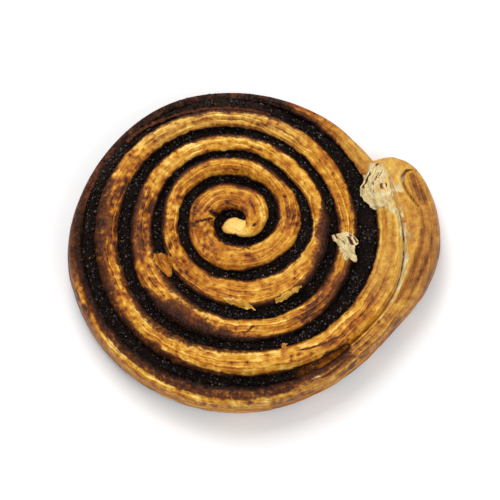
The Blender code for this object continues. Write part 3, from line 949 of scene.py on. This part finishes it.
VECTOR, NUMBER, WHOLE = "NodeSocketVector", "NodeSocketFloat", "NodeSocketInt"
GROUP_INPUTS = {
    "layered_grain": (("Strip", VECTOR, None), ("Place", VECTOR, None), ("Fineness", NUMBER, 1.0)),
    "wet_crumbs": (("Place", VECTOR, None), ("Grain Size", NUMBER, 0.0008)),
    "layer_edges": (("Count", NUMBER, 0.0), ("Strength", NUMBER, 1.0)),
    "scatter_grains": (
        ("Geometry", "NodeSocketGeometry", None),
        ("Grains per Area", NUMBER, 1000000.0),
        ("Smallest", NUMBER, 0.0002),
        ("Largest", NUMBER, 0.0005),
        ("Roundness", WHOLE, 1),
        ("Seed", WHOLE, 1),
        ("Material", "NodeSocketMaterial", None),
    ),
}


def new_group(name, kind):
    """An empty node group with its named inputs."""
    tree = bpy.data.node_groups.new(name, kind)
    for socket, socket_type, value in GROUP_INPUTS[name]:
        item = tree.interface.new_socket(name=socket, in_out="INPUT", socket_type=socket_type)
        if value is not None:
            item.default_value = value
    nodes = Nodes(tree)
    return nodes, nodes.add("NodeGroupInput").outputs


def shader_group(build):
    """The shader node group of a build function, which gives its outputs, all numbers, by name."""
    nodes, given = new_group(build.__name__, "ShaderNodeTree")
    results = build(nodes, given)
    for name in results:
        nodes.tree.interface.new_socket(name=name, in_out="OUTPUT", socket_type=NUMBER)
    nodes.add("NodeGroupOutput", **results)
    return nodes.tree


def layered_grain(nodes, given):
    """Long fine lines along the strip, mottling in two sizes and small freckles."""
    stretched = nodes.add("ShaderNodeMapping", Vector=given["Strip"], Scale=(0.15, 1.5, 1.0))
    place, fine = given["Place"], given["Fineness"]
    return {
        "Lines": nodes.noise(stretched.outputs[0], nodes.times(fine, 1000.0), 3.0, 0.5),
        "Mottle": nodes.noise(place, nodes.times(fine, 380.0), 4.0, 0.62),
        "Speckle": nodes.noise(place, nodes.times(fine, 1500.0), 3.0, 0.6),
        "Freckle": nodes.spread(nodes.noise(place, nodes.times(fine, 760.0), 1.0, 0.4), 0.66, 0.76),
    }


def wet_crumbs(nodes, given):
    """Clumped grains: their tone, a few glints and their height."""
    place = given["Place"]
    scale = nodes.math("DIVIDE", 1.0, given["Grain Size"])
    cells = nodes.add("ShaderNodeTexVoronoi", Vector=place, Scale=scale, Randomness=1.0)
    clump = nodes.noise(place, nodes.times(scale, 0.35), 3.0, 0.6)
    tint = nodes.add("ShaderNodeSeparateColor", Color=cells.outputs["Color"]).outputs[0]
    bump = nodes.math("SUBTRACT", 1.0, cells.outputs["Distance"])
    return {
        "Tone": nodes.plus(nodes.times(tint, 0.5), nodes.times(clump, 0.5)),
        "Glint": nodes.spread(tint, 0.90, 0.97),
        "Height": nodes.plus(bump, nodes.times(clump, 0.8)),
    }


def layer_edges(nodes, given):
    """Where a layer's edge catches the light, a painted highlight, and the painted shade under the edge."""
    strength = given["Strength"]
    step = nodes.math("FRACT", given["Count"])
    rising, falling = nodes.spread(step, 0.46, 0.72), nodes.spread(step, 0.76, 0.92)
    painted_highlight = nodes.math("SUBTRACT", rising, falling, clamp=True)
    hollow = nodes.math("MAXIMUM", falling, nodes.spread(step, 0.0, 0.16, 1.0, 0.0))
    return {
        "Crest": nodes.times(painted_highlight, strength),
        "Hollow": nodes.times(hollow, strength),
        "Step": nodes.times(step, strength),
    }


def new_material(name):
    material = bpy.data.materials.new(name)
    material.use_nodes = True
    return material, Nodes(material.node_tree), material.node_tree.nodes["Principled BSDF"]


def crust_material(colours):
    """Baked dough: pale to burnt by how it was baked, lighter and darker by painted highlights and shade,
    smeared with filling, raw in its tears.
    """
    if "baked_dough" in bpy.data.materials:
        return bpy.data.materials["baked_dough"]
    material, nodes, shader = new_material("baked_dough")
    times, plus, centred, spread = nodes.times, nodes.plus, nodes.centred, nodes.spread
    place = nodes.place()
    strip = nodes.add("ShaderNodeUVMap", {"uv_map": "strip"}).outputs[0]
    bake, smear, torn, layer, edge, soft, ochre = nodes.painted(
        "bake", "smear", "torn", "layer", "edge", "soft", "ochre"
    )
    grain = nodes.group(layered_grain, Strip=strip, Place=place, Fineness=1.0)
    crumbs = nodes.group(wet_crumbs, Place=place, Grain_Size=0.0008)
    layers = nodes.group(layer_edges, Count=layer, Strength=edge)
    lines, mottle, speckle = grain["Lines"], grain["Mottle"], grain["Speckle"]
    level = plus(
        bake,
        times(centred(lines, 0.6), soft),
        times(centred(mottle, 0.75), spread(soft, 0.0, 1.0, 0.4, 1.0)),
        centred(speckle, 0.35),
        times(times(grain["Freckle"], 0.24), soft),
        # Painted highlight on each layer's edge and painted shade under it.
        times(layers["Crest"], -0.20),
        times(layers["Hollow"], 0.17),
    )
    # The crust's colour from its browning, its painted highlights and its painted shade.
    baked = nodes.ramp(
        level,
        (0.0, colours.pale),
        (0.2, colours.light),
        (0.42, colours.golden),
        (0.62, colours.amber),
        (0.82, colours.brown),
        (1.0, colours.burnt),
    )
    yellower, duller = spread(ochre, 0.0, 1.0, 0.5, 0.509), spread(ochre, 0.0, 1.0, 1.0, 0.96)
    baked = nodes.add("ShaderNodeHueSaturation", Hue=yellower, Saturation=duller, Color=baked).outputs[0]
    raw_level = plus(lines, centred(speckle, 0.5), centred(mottle, 0.5))
    raw = nodes.ramp(raw_level, (0.3, colours.raw_deep), (0.66, colours.raw))
    bare = spread(plus(torn, centred(mottle, 0.9)), 0.35, 0.75)
    colour = nodes.mix(bare, baked, raw)
    uneven = plus(centred(crumbs["Tone"], 0.5), centred(speckle, 0.4))
    thick = plus(smear, times(uneven, spread(smear, 0.0, 0.25)))
    colour = nodes.mix(spread(thick, 0.03, 0.28, 0.0, 0.85), colour, (*colours.stain, 1.0))
    filled = nodes.ramp(
        thick, (0.38, colours.smear), (0.68, colours.smear_deep), (0.97, colours.filling)
    )
    covered = spread(thick, 0.24, 0.50)
    # Painted glints: a few cells of the smear take the glint colour, standing for reflections of the light.
    filled = nodes.mix(times(crumbs["Glint"], 0.10), filled, (*colours.glint, 1.0))
    rough = nodes.math("SUBTRACT", 0.54, times(covered, 0.14))
    calm = nodes.math("SUBTRACT", 1.1, times(bare, 0.8))
    height = plus(
        times(lines, calm),
        times(speckle, 0.45),
        times(layers["Step"], 0.8),
        times(crumbs["Height"], covered),
    )
    bump = nodes.add("ShaderNodeBump", Strength=0.7, Distance=0.0004, Height=height)
    nodes.put(
        shader,
        Base_Color=nodes.mix(covered, colour, filled),
        Roughness=plus(rough, times(bare, 0.2)),
        Specular_IOR_Level=spread(covered, 0.0, 1.0, 0.16, 0.05),
        Normal=bump.outputs[0],
    )
    return material


def filling_material(colours):
    """Dark moist grains, dried in patches and boiled down to a glaze where the groove runs out."""
    material, nodes, shader = new_material("moist_filling")
    place = nodes.place()
    crumbs = nodes.group(wet_crumbs, Place=place, Grain_Size=0.0008)
    dark = nodes.ramp(
        crumbs["Tone"],
        (0.25, colours.filling_deep),
        (0.55, colours.filling),
        (0.9, colours.filling_light),
    )
    dry, glazed = nodes.painted("dry", "glazed")
    patches = nodes.spread(nodes.noise(place, 150.0, 2.0), 0.52, 0.72, 0.0, 0.6)
    dry = nodes.math("MAXIMUM", dry, patches)
    dry = nodes.times(dry, nodes.spread(crumbs["Tone"], 0.2, 0.8, 0.3, 1.0))
    colour = nodes.mix(dry, dark, (*colours.filling_dry, 1.0))
    syrup_tone = nodes.spread(nodes.noise(place, 420.0), 0.35, 0.65)
    glaze = nodes.mix(syrup_tone, (*colours.brown, 1.0), (*colours.amber, 1.0))
    bump = nodes.add("ShaderNodeBump", Strength=0.9, Distance=0.0005, Height=crumbs["Height"])
    nodes.put(
        shader,
        Base_Color=nodes.mix(glazed, colour, glaze),
        Roughness=nodes.spread(crumbs["Glint"], 0.0, 1.0, 0.6, 0.2),
        Specular_IOR_Level=0.05,
        Normal=bump.outputs[0],
    )
    return material


def grain_material(name, wet, *tones):
    """Grains and lumps of filling, each with its own tone from four; wet ones shine."""
    material, nodes, shader = new_material(name)
    (tone,) = nodes.painted("tone")
    level = nodes.plus(tone, nodes.centred(nodes.noise(nodes.place(), 2600.0, 2.0), 0.2))
    nodes.put(
        shader,
        Base_Color=nodes.ramp(level, *zip((0.1, 0.6, 0.95, 1.03), tones)),
        Roughness=nodes.spread(level, 0.2, 1.1, 0.55 - 0.2 * wet, 0.35 - 0.1 * wet),
        Specular_IOR_Level=0.1 + 0.25 * wet,
    )
    return material


# ---- scattered grains
GRAIN_STRETCH = ((0.65, 0.65, 0.65), (1.25, 1.0, 1.0))
ANY_TURN = (6.3, 6.3, 6.3)
TONE_SEED = 7


def scatter_tree():
    """Geometry Nodes: lumpy grains scattered on a surface where its grain value says."""
    nodes, given = new_group("scatter_grains", "GeometryNodeTree")
    tree = nodes.tree
    tree.interface.new_socket(name="Geometry", in_out="OUTPUT", socket_type="NodeSocketGeometry")
    number, seed = {"data_type": "FLOAT"}, given["Seed"]
    where = nodes.add("GeometryNodeInputNamedAttribute", number, Name="grain")
    points = nodes.add(
        "GeometryNodeDistributePointsOnFaces",
        Mesh=given["Geometry"],
        Density=nodes.times(given["Grains per Area"], where.outputs["Attribute"]),
        Seed=seed,
    )
    ball = nodes.add("GeometryNodeMeshIcoSphere", Radius=1.0, Subdivisions=given["Roundness"])
    size = nodes.random("FLOAT", i2=given["Smallest"], i3=given["Largest"], Seed=seed)
    shape = nodes.random("FLOAT_VECTOR", i0=GRAIN_STRETCH[0], i1=GRAIN_STRETCH[1])
    turn = nodes.random("FLOAT_VECTOR", i1=ANY_TURN)
    scale = {"i0": shape.outputs[0], "Scale": size.outputs[1]}
    placed = nodes.add(
        "GeometryNodeInstanceOnPoints",
        Points=points.outputs["Points"],
        Instance=ball.outputs["Mesh"],
        Rotation=turn.outputs[0],
        Scale=nodes.add("ShaderNodeVectorMath", {"operation": "SCALE"}, **scale).outputs[0],
    )
    stored = nodes.add(
        "GeometryNodeStoreNamedAttribute",
        {**number, "domain": "INSTANCE"},
        Geometry=placed.outputs[0],
        Name="tone",
        Value=nodes.random("FLOAT", Seed=TONE_SEED).outputs[1],
    )
    real = nodes.add("GeometryNodeRealizeInstances", Geometry=stored.outputs[0])
    dressed = nodes.add("GeometryNodeSetMaterial", Geometry=real.outputs[0], Material=given["Material"])
    nodes.add("NodeGroupOutput", Geometry=dressed.outputs[0])
    return tree


def scatter(name, source, density, smallest, largest, roundness, seed, material):
    """Runs the grain tree on a copy of a piece's mesh and keeps the result as a plain piece."""
    tree = bpy.data.node_groups.get("scatter_grains") or scatter_tree()
    mesh = bpy.data.objects[source].data.copy()
    mesh.materials.clear()
    holder = bpy.data.objects.new(name + "_source", mesh)
    bpy.context.scene.collection.objects.link(holder)
    modifier = holder.modifiers.new("grains", "NODES")
    modifier.node_group = tree
    names = {item.name: item.identifier for item in tree.interface.items_tree if item.in_out == "INPUT"}
    modifier[names["Grains per Area"]] = density / MM**2
    modifier[names["Smallest"]] = smallest
    modifier[names["Largest"]] = largest
    modifier[names["Roundness"]] = roundness
    modifier[names["Seed"]] = seed
    modifier[names["Material"]] = material
    seen = holder.evaluated_get(bpy.context.evaluated_depsgraph_get())
    mesh = bpy.data.meshes.new_from_object(seen)
    mesh.name = name
    holder.modifiers.clear()
    bpy.data.objects.remove(holder)
    if not mesh.polygons:
        raise RuntimeError(f"{name} came out empty")
    return add_piece(name, mesh)


# ---- torn sheets and flakes
SHEET_ROWS = 44
SHEET_COLUMNS = 26
ABOVE_ALL = 0.1
FLECK_ANGLES = (568.0, 586.0, 604.0, 620.0, 940.0, 955.0, 1300.0, 1265.0, 660.0, 1030.0)
# Flecks: where along the strip, how far off, how they are turned, their sizes and how brown they are.
FLECK_SEED = 23
FLECK_STRETCH = (400.0, 1740.0)
FLECK_SPREAD = (-16.0, 16.0)
FLECK_OFF = (-0.3, 0.9)
FLECK_TURN = (0.0, 28.0)
FLECK_LENGTH = (0.3, 0.9)
FLECK_WIDTH = (0.12, 0.32)
FLECK_BROWN = (0.45, 0.95)
# First noise seed of the sheets, of the thin layer and of the flecks.
SHEET_NOISE, THIN_NOISE, FLECK_NOISE = 60, 120, 300
# The thin layer's middle in plan, how far it reaches in and out and how high it stands.
THIN_LAYER = (
    (13.0, 44.6), (5.6, 46.2), (-7.1, 47.2), (-20.6, 45.2), (-30.8, 41.4), (-36.4, 38.4), (-41.2, 34.2),
)
THIN_REACH = (0.2, 1.0)
THIN_HEIGHT = 1.1


def ground_finder():
    """A function that tells, in millimetres, how high the pastry's top is at places in plan."""
    trees = []
    for name in ("pastry_dough", "pastry_filling"):
        mesh = bpy.data.objects[name].data
        corners = [vertex.co for vertex in mesh.vertices]
        trees.append(BVHTree.FromPolygons(corners, [tuple(face.vertices) for face in mesh.polygons]))

    def top(place):
        spot = Vector(((place[0] + EYE[0]) * MM, (place[1] + EYE[1]) * MM, ABOVE_ALL))
        hits = [tree.ray_cast(spot, Vector((0.0, 0.0, -1.0)))[0] for tree in trees]
        return max((hit.z for hit in hits if hit is not None), default=0.0) / MM

    return lambda plan: np.apply_along_axis(top, -1, plan)


def resample(points, count):
    """Places along a smooth curve through points."""
    along = np.linspace(0.0, len(points) - 1.0, count)
    return np.stack([smooth(list(enumerate(axis)), along) for axis in zip(*points)], axis=1)


def sheet_grids(left, right, height, ground, paint, seed, rows=SHEET_ROWS, columns=SHEET_COLUMNS,
                thickness=0.25, ragged=0.35, wrinkle=0.12, coat=-0.2):
    """A thin closed sheet of dough between two edges, as grids for grid_mesh."""
    left, right = resample(left, rows), resample(right, rows)
    along = np.linspace(0.0, 1.0, rows)[:, None]
    across = np.linspace(0.0, 1.0, columns)[None, :]
    width = np.maximum(np.linalg.norm(right - left, axis=1), 0.2)[:, None]
    size = np.linalg.norm(left[-1] - left[0])
    torn_left, torn_right = (
        ragged * (noise(seed + i, along * size / 1.1) + 0.6 * noise(seed + 2 + i, along * size / 0.5))
        for i in (0, 1)
    )
    shift = (torn_left * (1 - across) + torn_right * across) * np.minimum(1.0, width) / width
    plan = left[:, None] + (right - left)[:, None] * (across + shift)[..., None]
    folds = noise(seed + 4, along * size / 3.6, across * width / 0.8)
    low, high = height
    top = low + (high - low) * across + wrinkle * folds
    top = np.maximum(top, ground(plan) + 0.12 + 0.5 * wrinkle * (1 + folds))
    upper = lift(plan, top)
    lower = lift(plan, top - thickness)
    uv = strip_uv(along * size, width * across + SHEET_UV)
    slit = ease(0.35, 0.6, noise(seed + 5, along * size / 4.4, across * width / 0.55 + 0.4 * folds))
    slit = slit * ease(0.7, 0.35, along)
    spread = np.clip(np.minimum(across, 1 - across) * 8, 0.0, 1.0)
    brown, (raw_left, raw_right), slits = paint
    patches = noise(seed + 6, along * size / 1.2, across * width / 0.8)
    values = wall_paint(
        top.shape,
        bake=brown + 0.12 * folds + 0.14 * patches,
        torn=raw_left + (raw_right - raw_left) * across + 0.25 * patches,
        smear=np.maximum(slits * slit * spread, coat + 0.1 * patches),
        soft=0.6,
    )
    grids = [(upper, uv, values), (lower, uv, values)]
    for rim in (np.s_[:, :1], np.s_[:, -1:], np.s_[:1, :], np.s_[-1:, :]):
        axis = 1 if upper[rim].shape[1] == 1 else 0
        pair = np.concatenate((upper[rim], lower[rim]), axis=axis)
        pair_uv = np.concatenate((uv[rim], uv[rim]), axis=axis)
        pair_paint = {key: np.concatenate((v[rim], v[rim]), axis=axis) for key, v in values.items()}
        grids.append((pair, pair_uv, pair_paint))
    return grids


# ---- settings
def colour_property(name, description, default):
    return bpy.props.FloatVectorProperty(
        name=name,
        description=description,
        default=linear(*default),
        subtype="COLOR",
        size=3,
        min=0.0,
        max=1.0,
    )


def length_property(name, description, default):
    return bpy.props.FloatProperty(name=name, description=description, default=default, unit="LENGTH")


def density_property(name, description, default):
    return bpy.props.FloatProperty(name=name, description=description, default=default, min=0.0)


class PastrySizes(bpy.types.PropertyGroup):
    """Sizes that a user would change."""

    filling_sink: length_property(
        "Filling sink", "How far the filling lies below the dough's edges", 0.9 * MM
    )
    grain_small: length_property(
        "Smallest grain", "Half the width of the smallest loose grain", 0.16 * MM
    )
    grain_large: length_property(
        "Largest grain", "Half the width of the largest loose grain", 0.46 * MM
    )
    grains_per_area: density_property(
        "Grains per square millimetre", "How thickly loose grains lie on the filling", 1.5
    )
    lumps_per_area: density_property(
        "Lumps per square millimetre", "How thickly wet lumps lie on the filling", 0.36
    )
    smear_grains_per_area: density_property(
        "Grains per square millimetre of smear",
        "How thickly loose grains lie where the dough is smeared",
        0.8,
    )
    fleck_count: bpy.props.IntProperty(
        name="Flecks",
        description="How many flecks of crust lie in and beside the grooves",
        default=24,
        min=1,
    )
    camera_distance: length_property(
        "Camera distance", "From the camera to the middle of the pastry's top", 1.0
    )
    camera_elevation: bpy.props.FloatProperty(
        name="Camera elevation",
        description="How far above the floor the camera looks down from",
        default=math.radians(80.0),
        unit="ROTATION",
    )


class PastryColours(bpy.types.PropertyGroup):
    """Colours that a user would change."""

    pale: colour_property("Pale dough", "Dough that the oven hardly coloured", (240, 198, 112))
    light: colour_property("Light crust", "The lightest crust, on ridges", (212, 162, 62))
    golden: colour_property("Golden crust", "Most of the crust", (186, 121, 27))
    amber: colour_property("Amber crust", "Crust on the slopes", (153, 86, 21))
    brown: colour_property("Brown crust", "Crust at the grooves", (104, 53, 14))
    burnt: colour_property("Burnt crust", "Crust that met the tray", (46, 22, 12))
    raw: colour_property("Raw dough", "Bare dough in the tears", (221, 201, 149))
    raw_deep: colour_property("Raw dough in folds", "Bare dough between its strands", (156, 136, 94))
    stain: colour_property("Stained crust", "Crust where filling has soaked in", (108, 56, 20))
    smear: colour_property("Smeared filling", "A thin smear of filling on dough", (92, 48, 27))
    smear_deep: colour_property("Thick smear", "A thicker smear of filling", (55, 32, 22))
    filling: colour_property("Filling", "Most of the filling", (22, 13, 9))
    filling_deep: colour_property("Deep filling", "Filling between its grains", (9, 6, 5))
    filling_dry: colour_property("Dry filling", "Filling that dried on the outside", (48, 33, 25))
    filling_light: colour_property("Light filling", "The lightest filling", (32, 22, 18))
    # Painted glint: the colour that stands for glints of light on wet grains.
    glint: colour_property("Glinting grain", "The lightest grains", (138, 128, 122))


# ---- operators
class PASTRY_OT_dough(bpy.types.Operator):
    """Build the rolled strip of baked dough"""

    bl_idname = "pastry.dough"
    bl_label = "Dough"

    def execute(self, context):
        strip = Strip(ANGLES)
        grids = [dough_top(strip), dough_foot(strip)]
        for plan, edge, turned, outer in (
            (strip.inner, strip.inner_edge, ANGLES, False),
            (strip.outer, strip.outer_edge, ANGLES + TURN, True),
        ):
            at = (turned >= GROOVE_START) & (turned <= GROOVE_END)
            grids.append(groove_wall(plan[at], edge[at], strip.length[at], outer, syrup(turned[at])))
        grids.append(rim_wall(Strip(RIM_ANGLES)))
        mesh = grid_mesh("pastry_dough", grids, *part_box("dough"))
        mesh.materials.append(crust_material(context.scene.pastry_colours))
        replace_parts(add_piece("pastry_dough", mesh), "dough")
        return {"FINISHED"}


class PASTRY_OT_filling(bpy.types.Operator):
    """Build the dark filling that runs down in the seam"""

    bl_idname = "pastry.filling"
    bl_label = "Filling"

    def execute(self, context):
        sizes = context.scene.pastry_sizes
        angle = ANGLES[(ANGLES > GROOVE_START + FILLING_GAP) & (ANGLES < GROOVE_END - FILLING_GAP)]
        length = strip_length(angle)[:, None]
        width = groove_width(angle)
        half = (width / 2 + np.minimum(TUCK, 0.4 * width))[:, None]
        heap = np.maximum(0.0, HEAP_SHARE * (width - NARROW_WIDTH))[:, None]
        share = np.linspace(-1.0, 1.0, FILLING_POINTS)[None, :]
        radius = seam_radius(angle)[:, None] + half * share
        plan = polar(angle[:, None] + 0 * share, radius)
        x, y = plan[..., 0], plan[..., 1]
        level = edge_height(angle) - sizes.filling_sink / MM + wave_height(FILLING_WAVES, angle)
        height = level[:, None] + heap * (1 - share**2)
        full, glazed = heaped(angle)[:, None], syrup(angle)[:, None]
        height = height + HEAP_RISE * full * (1 - 0.3 * share**4)
        height = height + SYRUP_RISE * glazed * (1 - 0.6 * share**8)
        for amount, seed, size in FILLING_LUMPS:
            height = height + amount * noise(seed, x / size, y / size)
        points = lift(plan, height)
        across = half * share
        uv = strip_uv(length, across)
        grain = np.clip(0.65 + 0.5 * noise(53, length / 5.0, across / 2.0), 0.05, 1.0)
        grain = grain * ease(1.0, 0.8, np.abs(share)) * (1 - glazed)
        top = (points, uv, {"grain": grain, "dry": full, "glazed": glazed})
        sides = [np.stack((edge, edge * (1.0, 1.0, 0.0)), axis=1) for edge in (points[:, 0], points[:, -1])]
        sides.append(np.stack((sides[0][:, 1], sides[1][:, 1]), axis=1))
        bare = {"grain": 0.0, "dry": 0.0, "glazed": 0.0}
        grids = [top, *((side, np.zeros((*side.shape[:2], 2)), bare) for side in sides)]
        low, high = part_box("dough")
        high = (high[0], high[1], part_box("filling")[1][2])
        mesh = grid_mesh("pastry_filling", grids, low, high, fill_ends=True)
        mesh.materials.append(filling_material(context.scene.pastry_colours))
        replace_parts(add_piece("pastry_filling", mesh), "filling")
        return {"FINISHED"}


class PASTRY_OT_grains(bpy.types.Operator):
    """Scatter loose grains over the filling"""

    bl_idname = "pastry.grains"
    bl_label = "Grains"

    def execute(self, context):
        sizes, colours = context.scene.pastry_sizes, context.scene.pastry_colours
        # The last tone paints glints of light on the lightest grains.
        tones = (colours.filling_deep, colours.filling, colours.filling_light, colours.glint)
        material = grain_material("filling_grain", 0.0, *tones)
        small, large = sizes.grain_small, sizes.grain_large
        scatter("filling_grains", "pastry_filling", sizes.grains_per_area, small, large, 1, 5, material)
        return {"FINISHED"}


class PASTRY_OT_lumps(bpy.types.Operator):
    """Scatter wet lumps over the filling"""

    bl_idname = "pastry.lumps"
    bl_label = "Lumps"

    def execute(self, context):
        sizes, colours = context.scene.pastry_sizes, context.scene.pastry_colours
        tones = (colours.filling_deep, colours.filling, colours.filling_light, colours.filling_dry)
        material = grain_material("filling_lump", 1.0, *tones)
        small, large = sizes.grain_large, 2.1 * sizes.grain_large
        scatter("filling_lumps", "pastry_filling", sizes.lumps_per_area, small, large, 2, 14, material)
        return {"FINISHED"}


class PASTRY_OT_smear_grains(bpy.types.Operator):
    """Scatter finer grains over the dough where filling has smeared it"""

    bl_idname = "pastry.smear_grains"
    bl_label = "Grains on smears"

    def execute(self, context):
        sizes, colours = context.scene.pastry_sizes, context.scene.pastry_colours
        tones = (colours.filling_deep, colours.smear_deep, colours.smear, colours.filling_light)
        material = grain_material("smear_grain", 0.4, *tones)
        small, large = 0.7 * sizes.grain_small, 0.75 * sizes.grain_large
        scatter("smear_grains", "pastry_dough", sizes.smear_grains_per_area, small, large, 1, 9, material)
        return {"FINISHED"}


class PASTRY_OT_sheets(bpy.types.Operator):
    """Lay the torn sheets of dough and the thin broken layer over the grooves"""

    bl_idname = "pastry.sheets"
    bl_label = "Torn sheets"

    def execute(self, context):
        ground = ground_finder()
        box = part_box("dough")
        material = crust_material(context.scene.pastry_colours)
        for number, (name, heights, *paint, left, right) in enumerate(SHEETS):
            grids = sheet_grids(left, right, heights, ground, paint, SHEET_NOISE + 10 * number)
            add_piece(name, grid_mesh(name, grids, *box), material)
        line = resample(THIN_LAYER, 9)
        outward = line / np.linalg.norm(line, axis=1, keepdims=True)
        grids = sheet_grids(
            (line - THIN_REACH[0] * outward).tolist(),
            (line + THIN_REACH[1] * outward).tolist(),
            (0.0, 0.0),
            lambda plan: ground(plan).min(axis=1, keepdims=True) + THIN_HEIGHT,
            (MOST_BAKED, (-0.3, -0.3), 0.0),
            THIN_NOISE,
            rows=150,
            columns=5,
            thickness=1.8,
            ragged=0.3,
            wrinkle=0.35,
            coat=0.5,
        )
        add_piece("thin_layer", grid_mesh("thin_layer", grids, *box), material)
        return {"FINISHED"}


class PASTRY_OT_flecks(bpy.types.Operator):
    """Strew small flecks of crust in and beside the grooves"""

    bl_idname = "pastry.flecks"
    bl_label = "Flecks"

    def execute(self, context):
        sizes = context.scene.pastry_sizes
        ground = ground_finder()
        random = np.random.RandomState(FLECK_SEED)
        grids = []
        for i in range(sizes.fleck_count):
            if i % 2:
                angle = random.choice(FLECK_ANGLES) + random.uniform(*FLECK_SPREAD)
            else:
                angle = random.uniform(*FLECK_STRETCH)
            side = random.choice((-1.0, 1.0))
            off = side * (groove_width(angle) / 2 + random.normal(*FLECK_OFF))
            middle = polar(angle, seam_radius(angle) + off)
            turn = np.radians(angle + 90.0 + random.normal(*FLECK_TURN))
            ahead = np.array((np.cos(turn), np.sin(turn)))
            aside = np.array((-ahead[1], ahead[0]))
            long, wide = random.uniform(*FLECK_LENGTH), random.uniform(*FLECK_WIDTH)
            left = [middle - ahead * long, middle + aside * wide, middle + ahead * long]
            right = [middle - ahead * long, middle - aside * wide, middle + ahead * long]
            brown = random.uniform(*FLECK_BROWN)
            grids += sheet_grids(
                left, right, (0.0, 0.0), ground, (brown, (0.0, 0.0), 0.0), FLECK_NOISE + i,
                rows=6, columns=3, thickness=0.16, ragged=0.1, wrinkle=0.3,
            )
        mesh = grid_mesh("crust_flecks", grids, *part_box("dough"))
        add_piece("crust_flecks", mesh, crust_material(context.scene.pastry_colours))
        return {"FINISHED"}


# The photo's width and the eye's place in it in pixels, a pixel's size and the height it is true at.
PHOTO_SIDE = 500
EYE_IN_PHOTO = (236, 229)
PIXEL = 0.375 * MM
TOP_LEVEL = 22.0 * MM
FLOOR_SIZE = 3.0
FLOOR_TONES = ((0.90, 0.90, 0.90, 1.0), (0.93, 0.93, 0.93, 1.0))
SKY_STRENGTH = 0.62
CLIP = (0.01, 10.0)
# Name, place, size and power of each lamp.
LAMPS = (
    ("key_light", (-0.2, 0.5, 0.75), 0.5, 6.0),
    ("fill_light", (0.5, -0.4, 0.8), 0.6, 3.1),
)


class PASTRY_OT_stage(bpy.types.Operator):
    """Set the pale floor, the soft light and the camera"""

    bl_idname = "pastry.stage"
    bl_label = "Stage"

    def execute(self, context):
        scene = context.scene
        bpy.ops.mesh.primitive_grid_add(x_subdivisions=4, y_subdivisions=4, size=FLOOR_SIZE)
        floor = context.object
        floor.name = "studio_floor"
        material, nodes, shader = new_material("pale_floor")
        tone = nodes.noise(nodes.place(), 3.0)
        nodes.put(shader, Base_Color=nodes.mix(tone, *FLOOR_TONES), Roughness=0.9)
        floor.data.materials.append(material)
        world = bpy.data.worlds.new("soft_studio")
        world.use_nodes = True
        background = world.node_tree.nodes["Background"]
        background.inputs["Color"].default_value = (1.0, 1.0, 1.0, 1.0)
        background.inputs["Strength"].default_value = SKY_STRENGTH
        scene.world = world
        for name, place, size, power in LAMPS:
            data = bpy.data.lights.new(name, "AREA")
            data.size = size
            data.energy = power
            lamp = bpy.data.objects.new(name, data)
            lamp.location = place
            lamp.rotation_euler = (-Vector(place)).to_track_quat("-Z", "Y").to_euler()
            scene.collection.objects.link(lamp)
        scene.view_settings.view_transform = "Standard"
        scene.view_settings.look = "None"
        sizes = scene.pastry_sizes
        data = bpy.data.cameras.new("camera")
        camera = bpy.data.objects.new("camera", data)
        scene.collection.objects.link(camera)
        scene.camera = camera
        data.lens = data.sensor_width * sizes.camera_distance / (PHOTO_SIDE * PIXEL)
        tilt = sizes.camera_elevation
        right, down = ((PHOTO_SIDE / 2 - at) * PIXEL for at in EYE_IN_PHOTO)
        aim = Vector((EYE[0] * MM + right, EYE[1] * MM - down / math.sin(tilt), TOP_LEVEL))
        back = Vector((0.0, -math.cos(tilt), math.sin(tilt)))
        camera.location = aim + back * sizes.camera_distance
        camera.rotation_euler = (-back).to_track_quat("-Z", "Y").to_euler()
        data.clip_start, data.clip_end = CLIP
        return {"FINISHED"}


OPERATORS = (
    PASTRY_OT_dough,
    PASTRY_OT_filling,
    PASTRY_OT_grains,
    PASTRY_OT_lumps,
    PASTRY_OT_smear_grains,
    PASTRY_OT_sheets,
    PASTRY_OT_flecks,
    PASTRY_OT_stage,
)


class PASTRY_PT_panel(bpy.types.Panel):
    """Lists the pastry's pieces and settings in the sidebar"""

    bl_idname = "PASTRY_PT_panel"
    bl_label = "Danish pastry"
    bl_space_type = "VIEW_3D"
    bl_region_type = "UI"
    bl_category = "Pastry"

    def draw(self, context):
        for operator in OPERATORS:
            self.layout.operator(operator.bl_idname)
        for group in (context.scene.pastry_sizes, context.scene.pastry_colours):
            for key in group.bl_rna.properties.keys():
                if key not in ("rna_type", "name"):
                    self.layout.prop(group, key)


CLASSES = (PastrySizes, PastryColours, *OPERATORS, PASTRY_PT_panel)


def register():
    for item in CLASSES:
        bpy.utils.register_class(item)
    bpy.types.Scene.pastry_sizes = bpy.props.PointerProperty(type=PastrySizes)
    bpy.types.Scene.pastry_colours = bpy.props.PointerProperty(type=PastryColours)


def unregister():
    del bpy.types.Scene.pastry_colours
    del bpy.types.Scene.pastry_sizes
    for item in reversed(CLASSES):
        bpy.utils.unregister_class(item)


def main():
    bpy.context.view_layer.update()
    register()
    bpy.ops.pastry.dough()
    bpy.ops.pastry.filling()
    bpy.ops.pastry.grains()
    bpy.ops.pastry.lumps()
    bpy.ops.pastry.smear_grains()
    bpy.ops.pastry.sheets()
    bpy.ops.pastry.flecks()
    bpy.ops.pastry.stage()


if __name__ == "__main__":
    main()
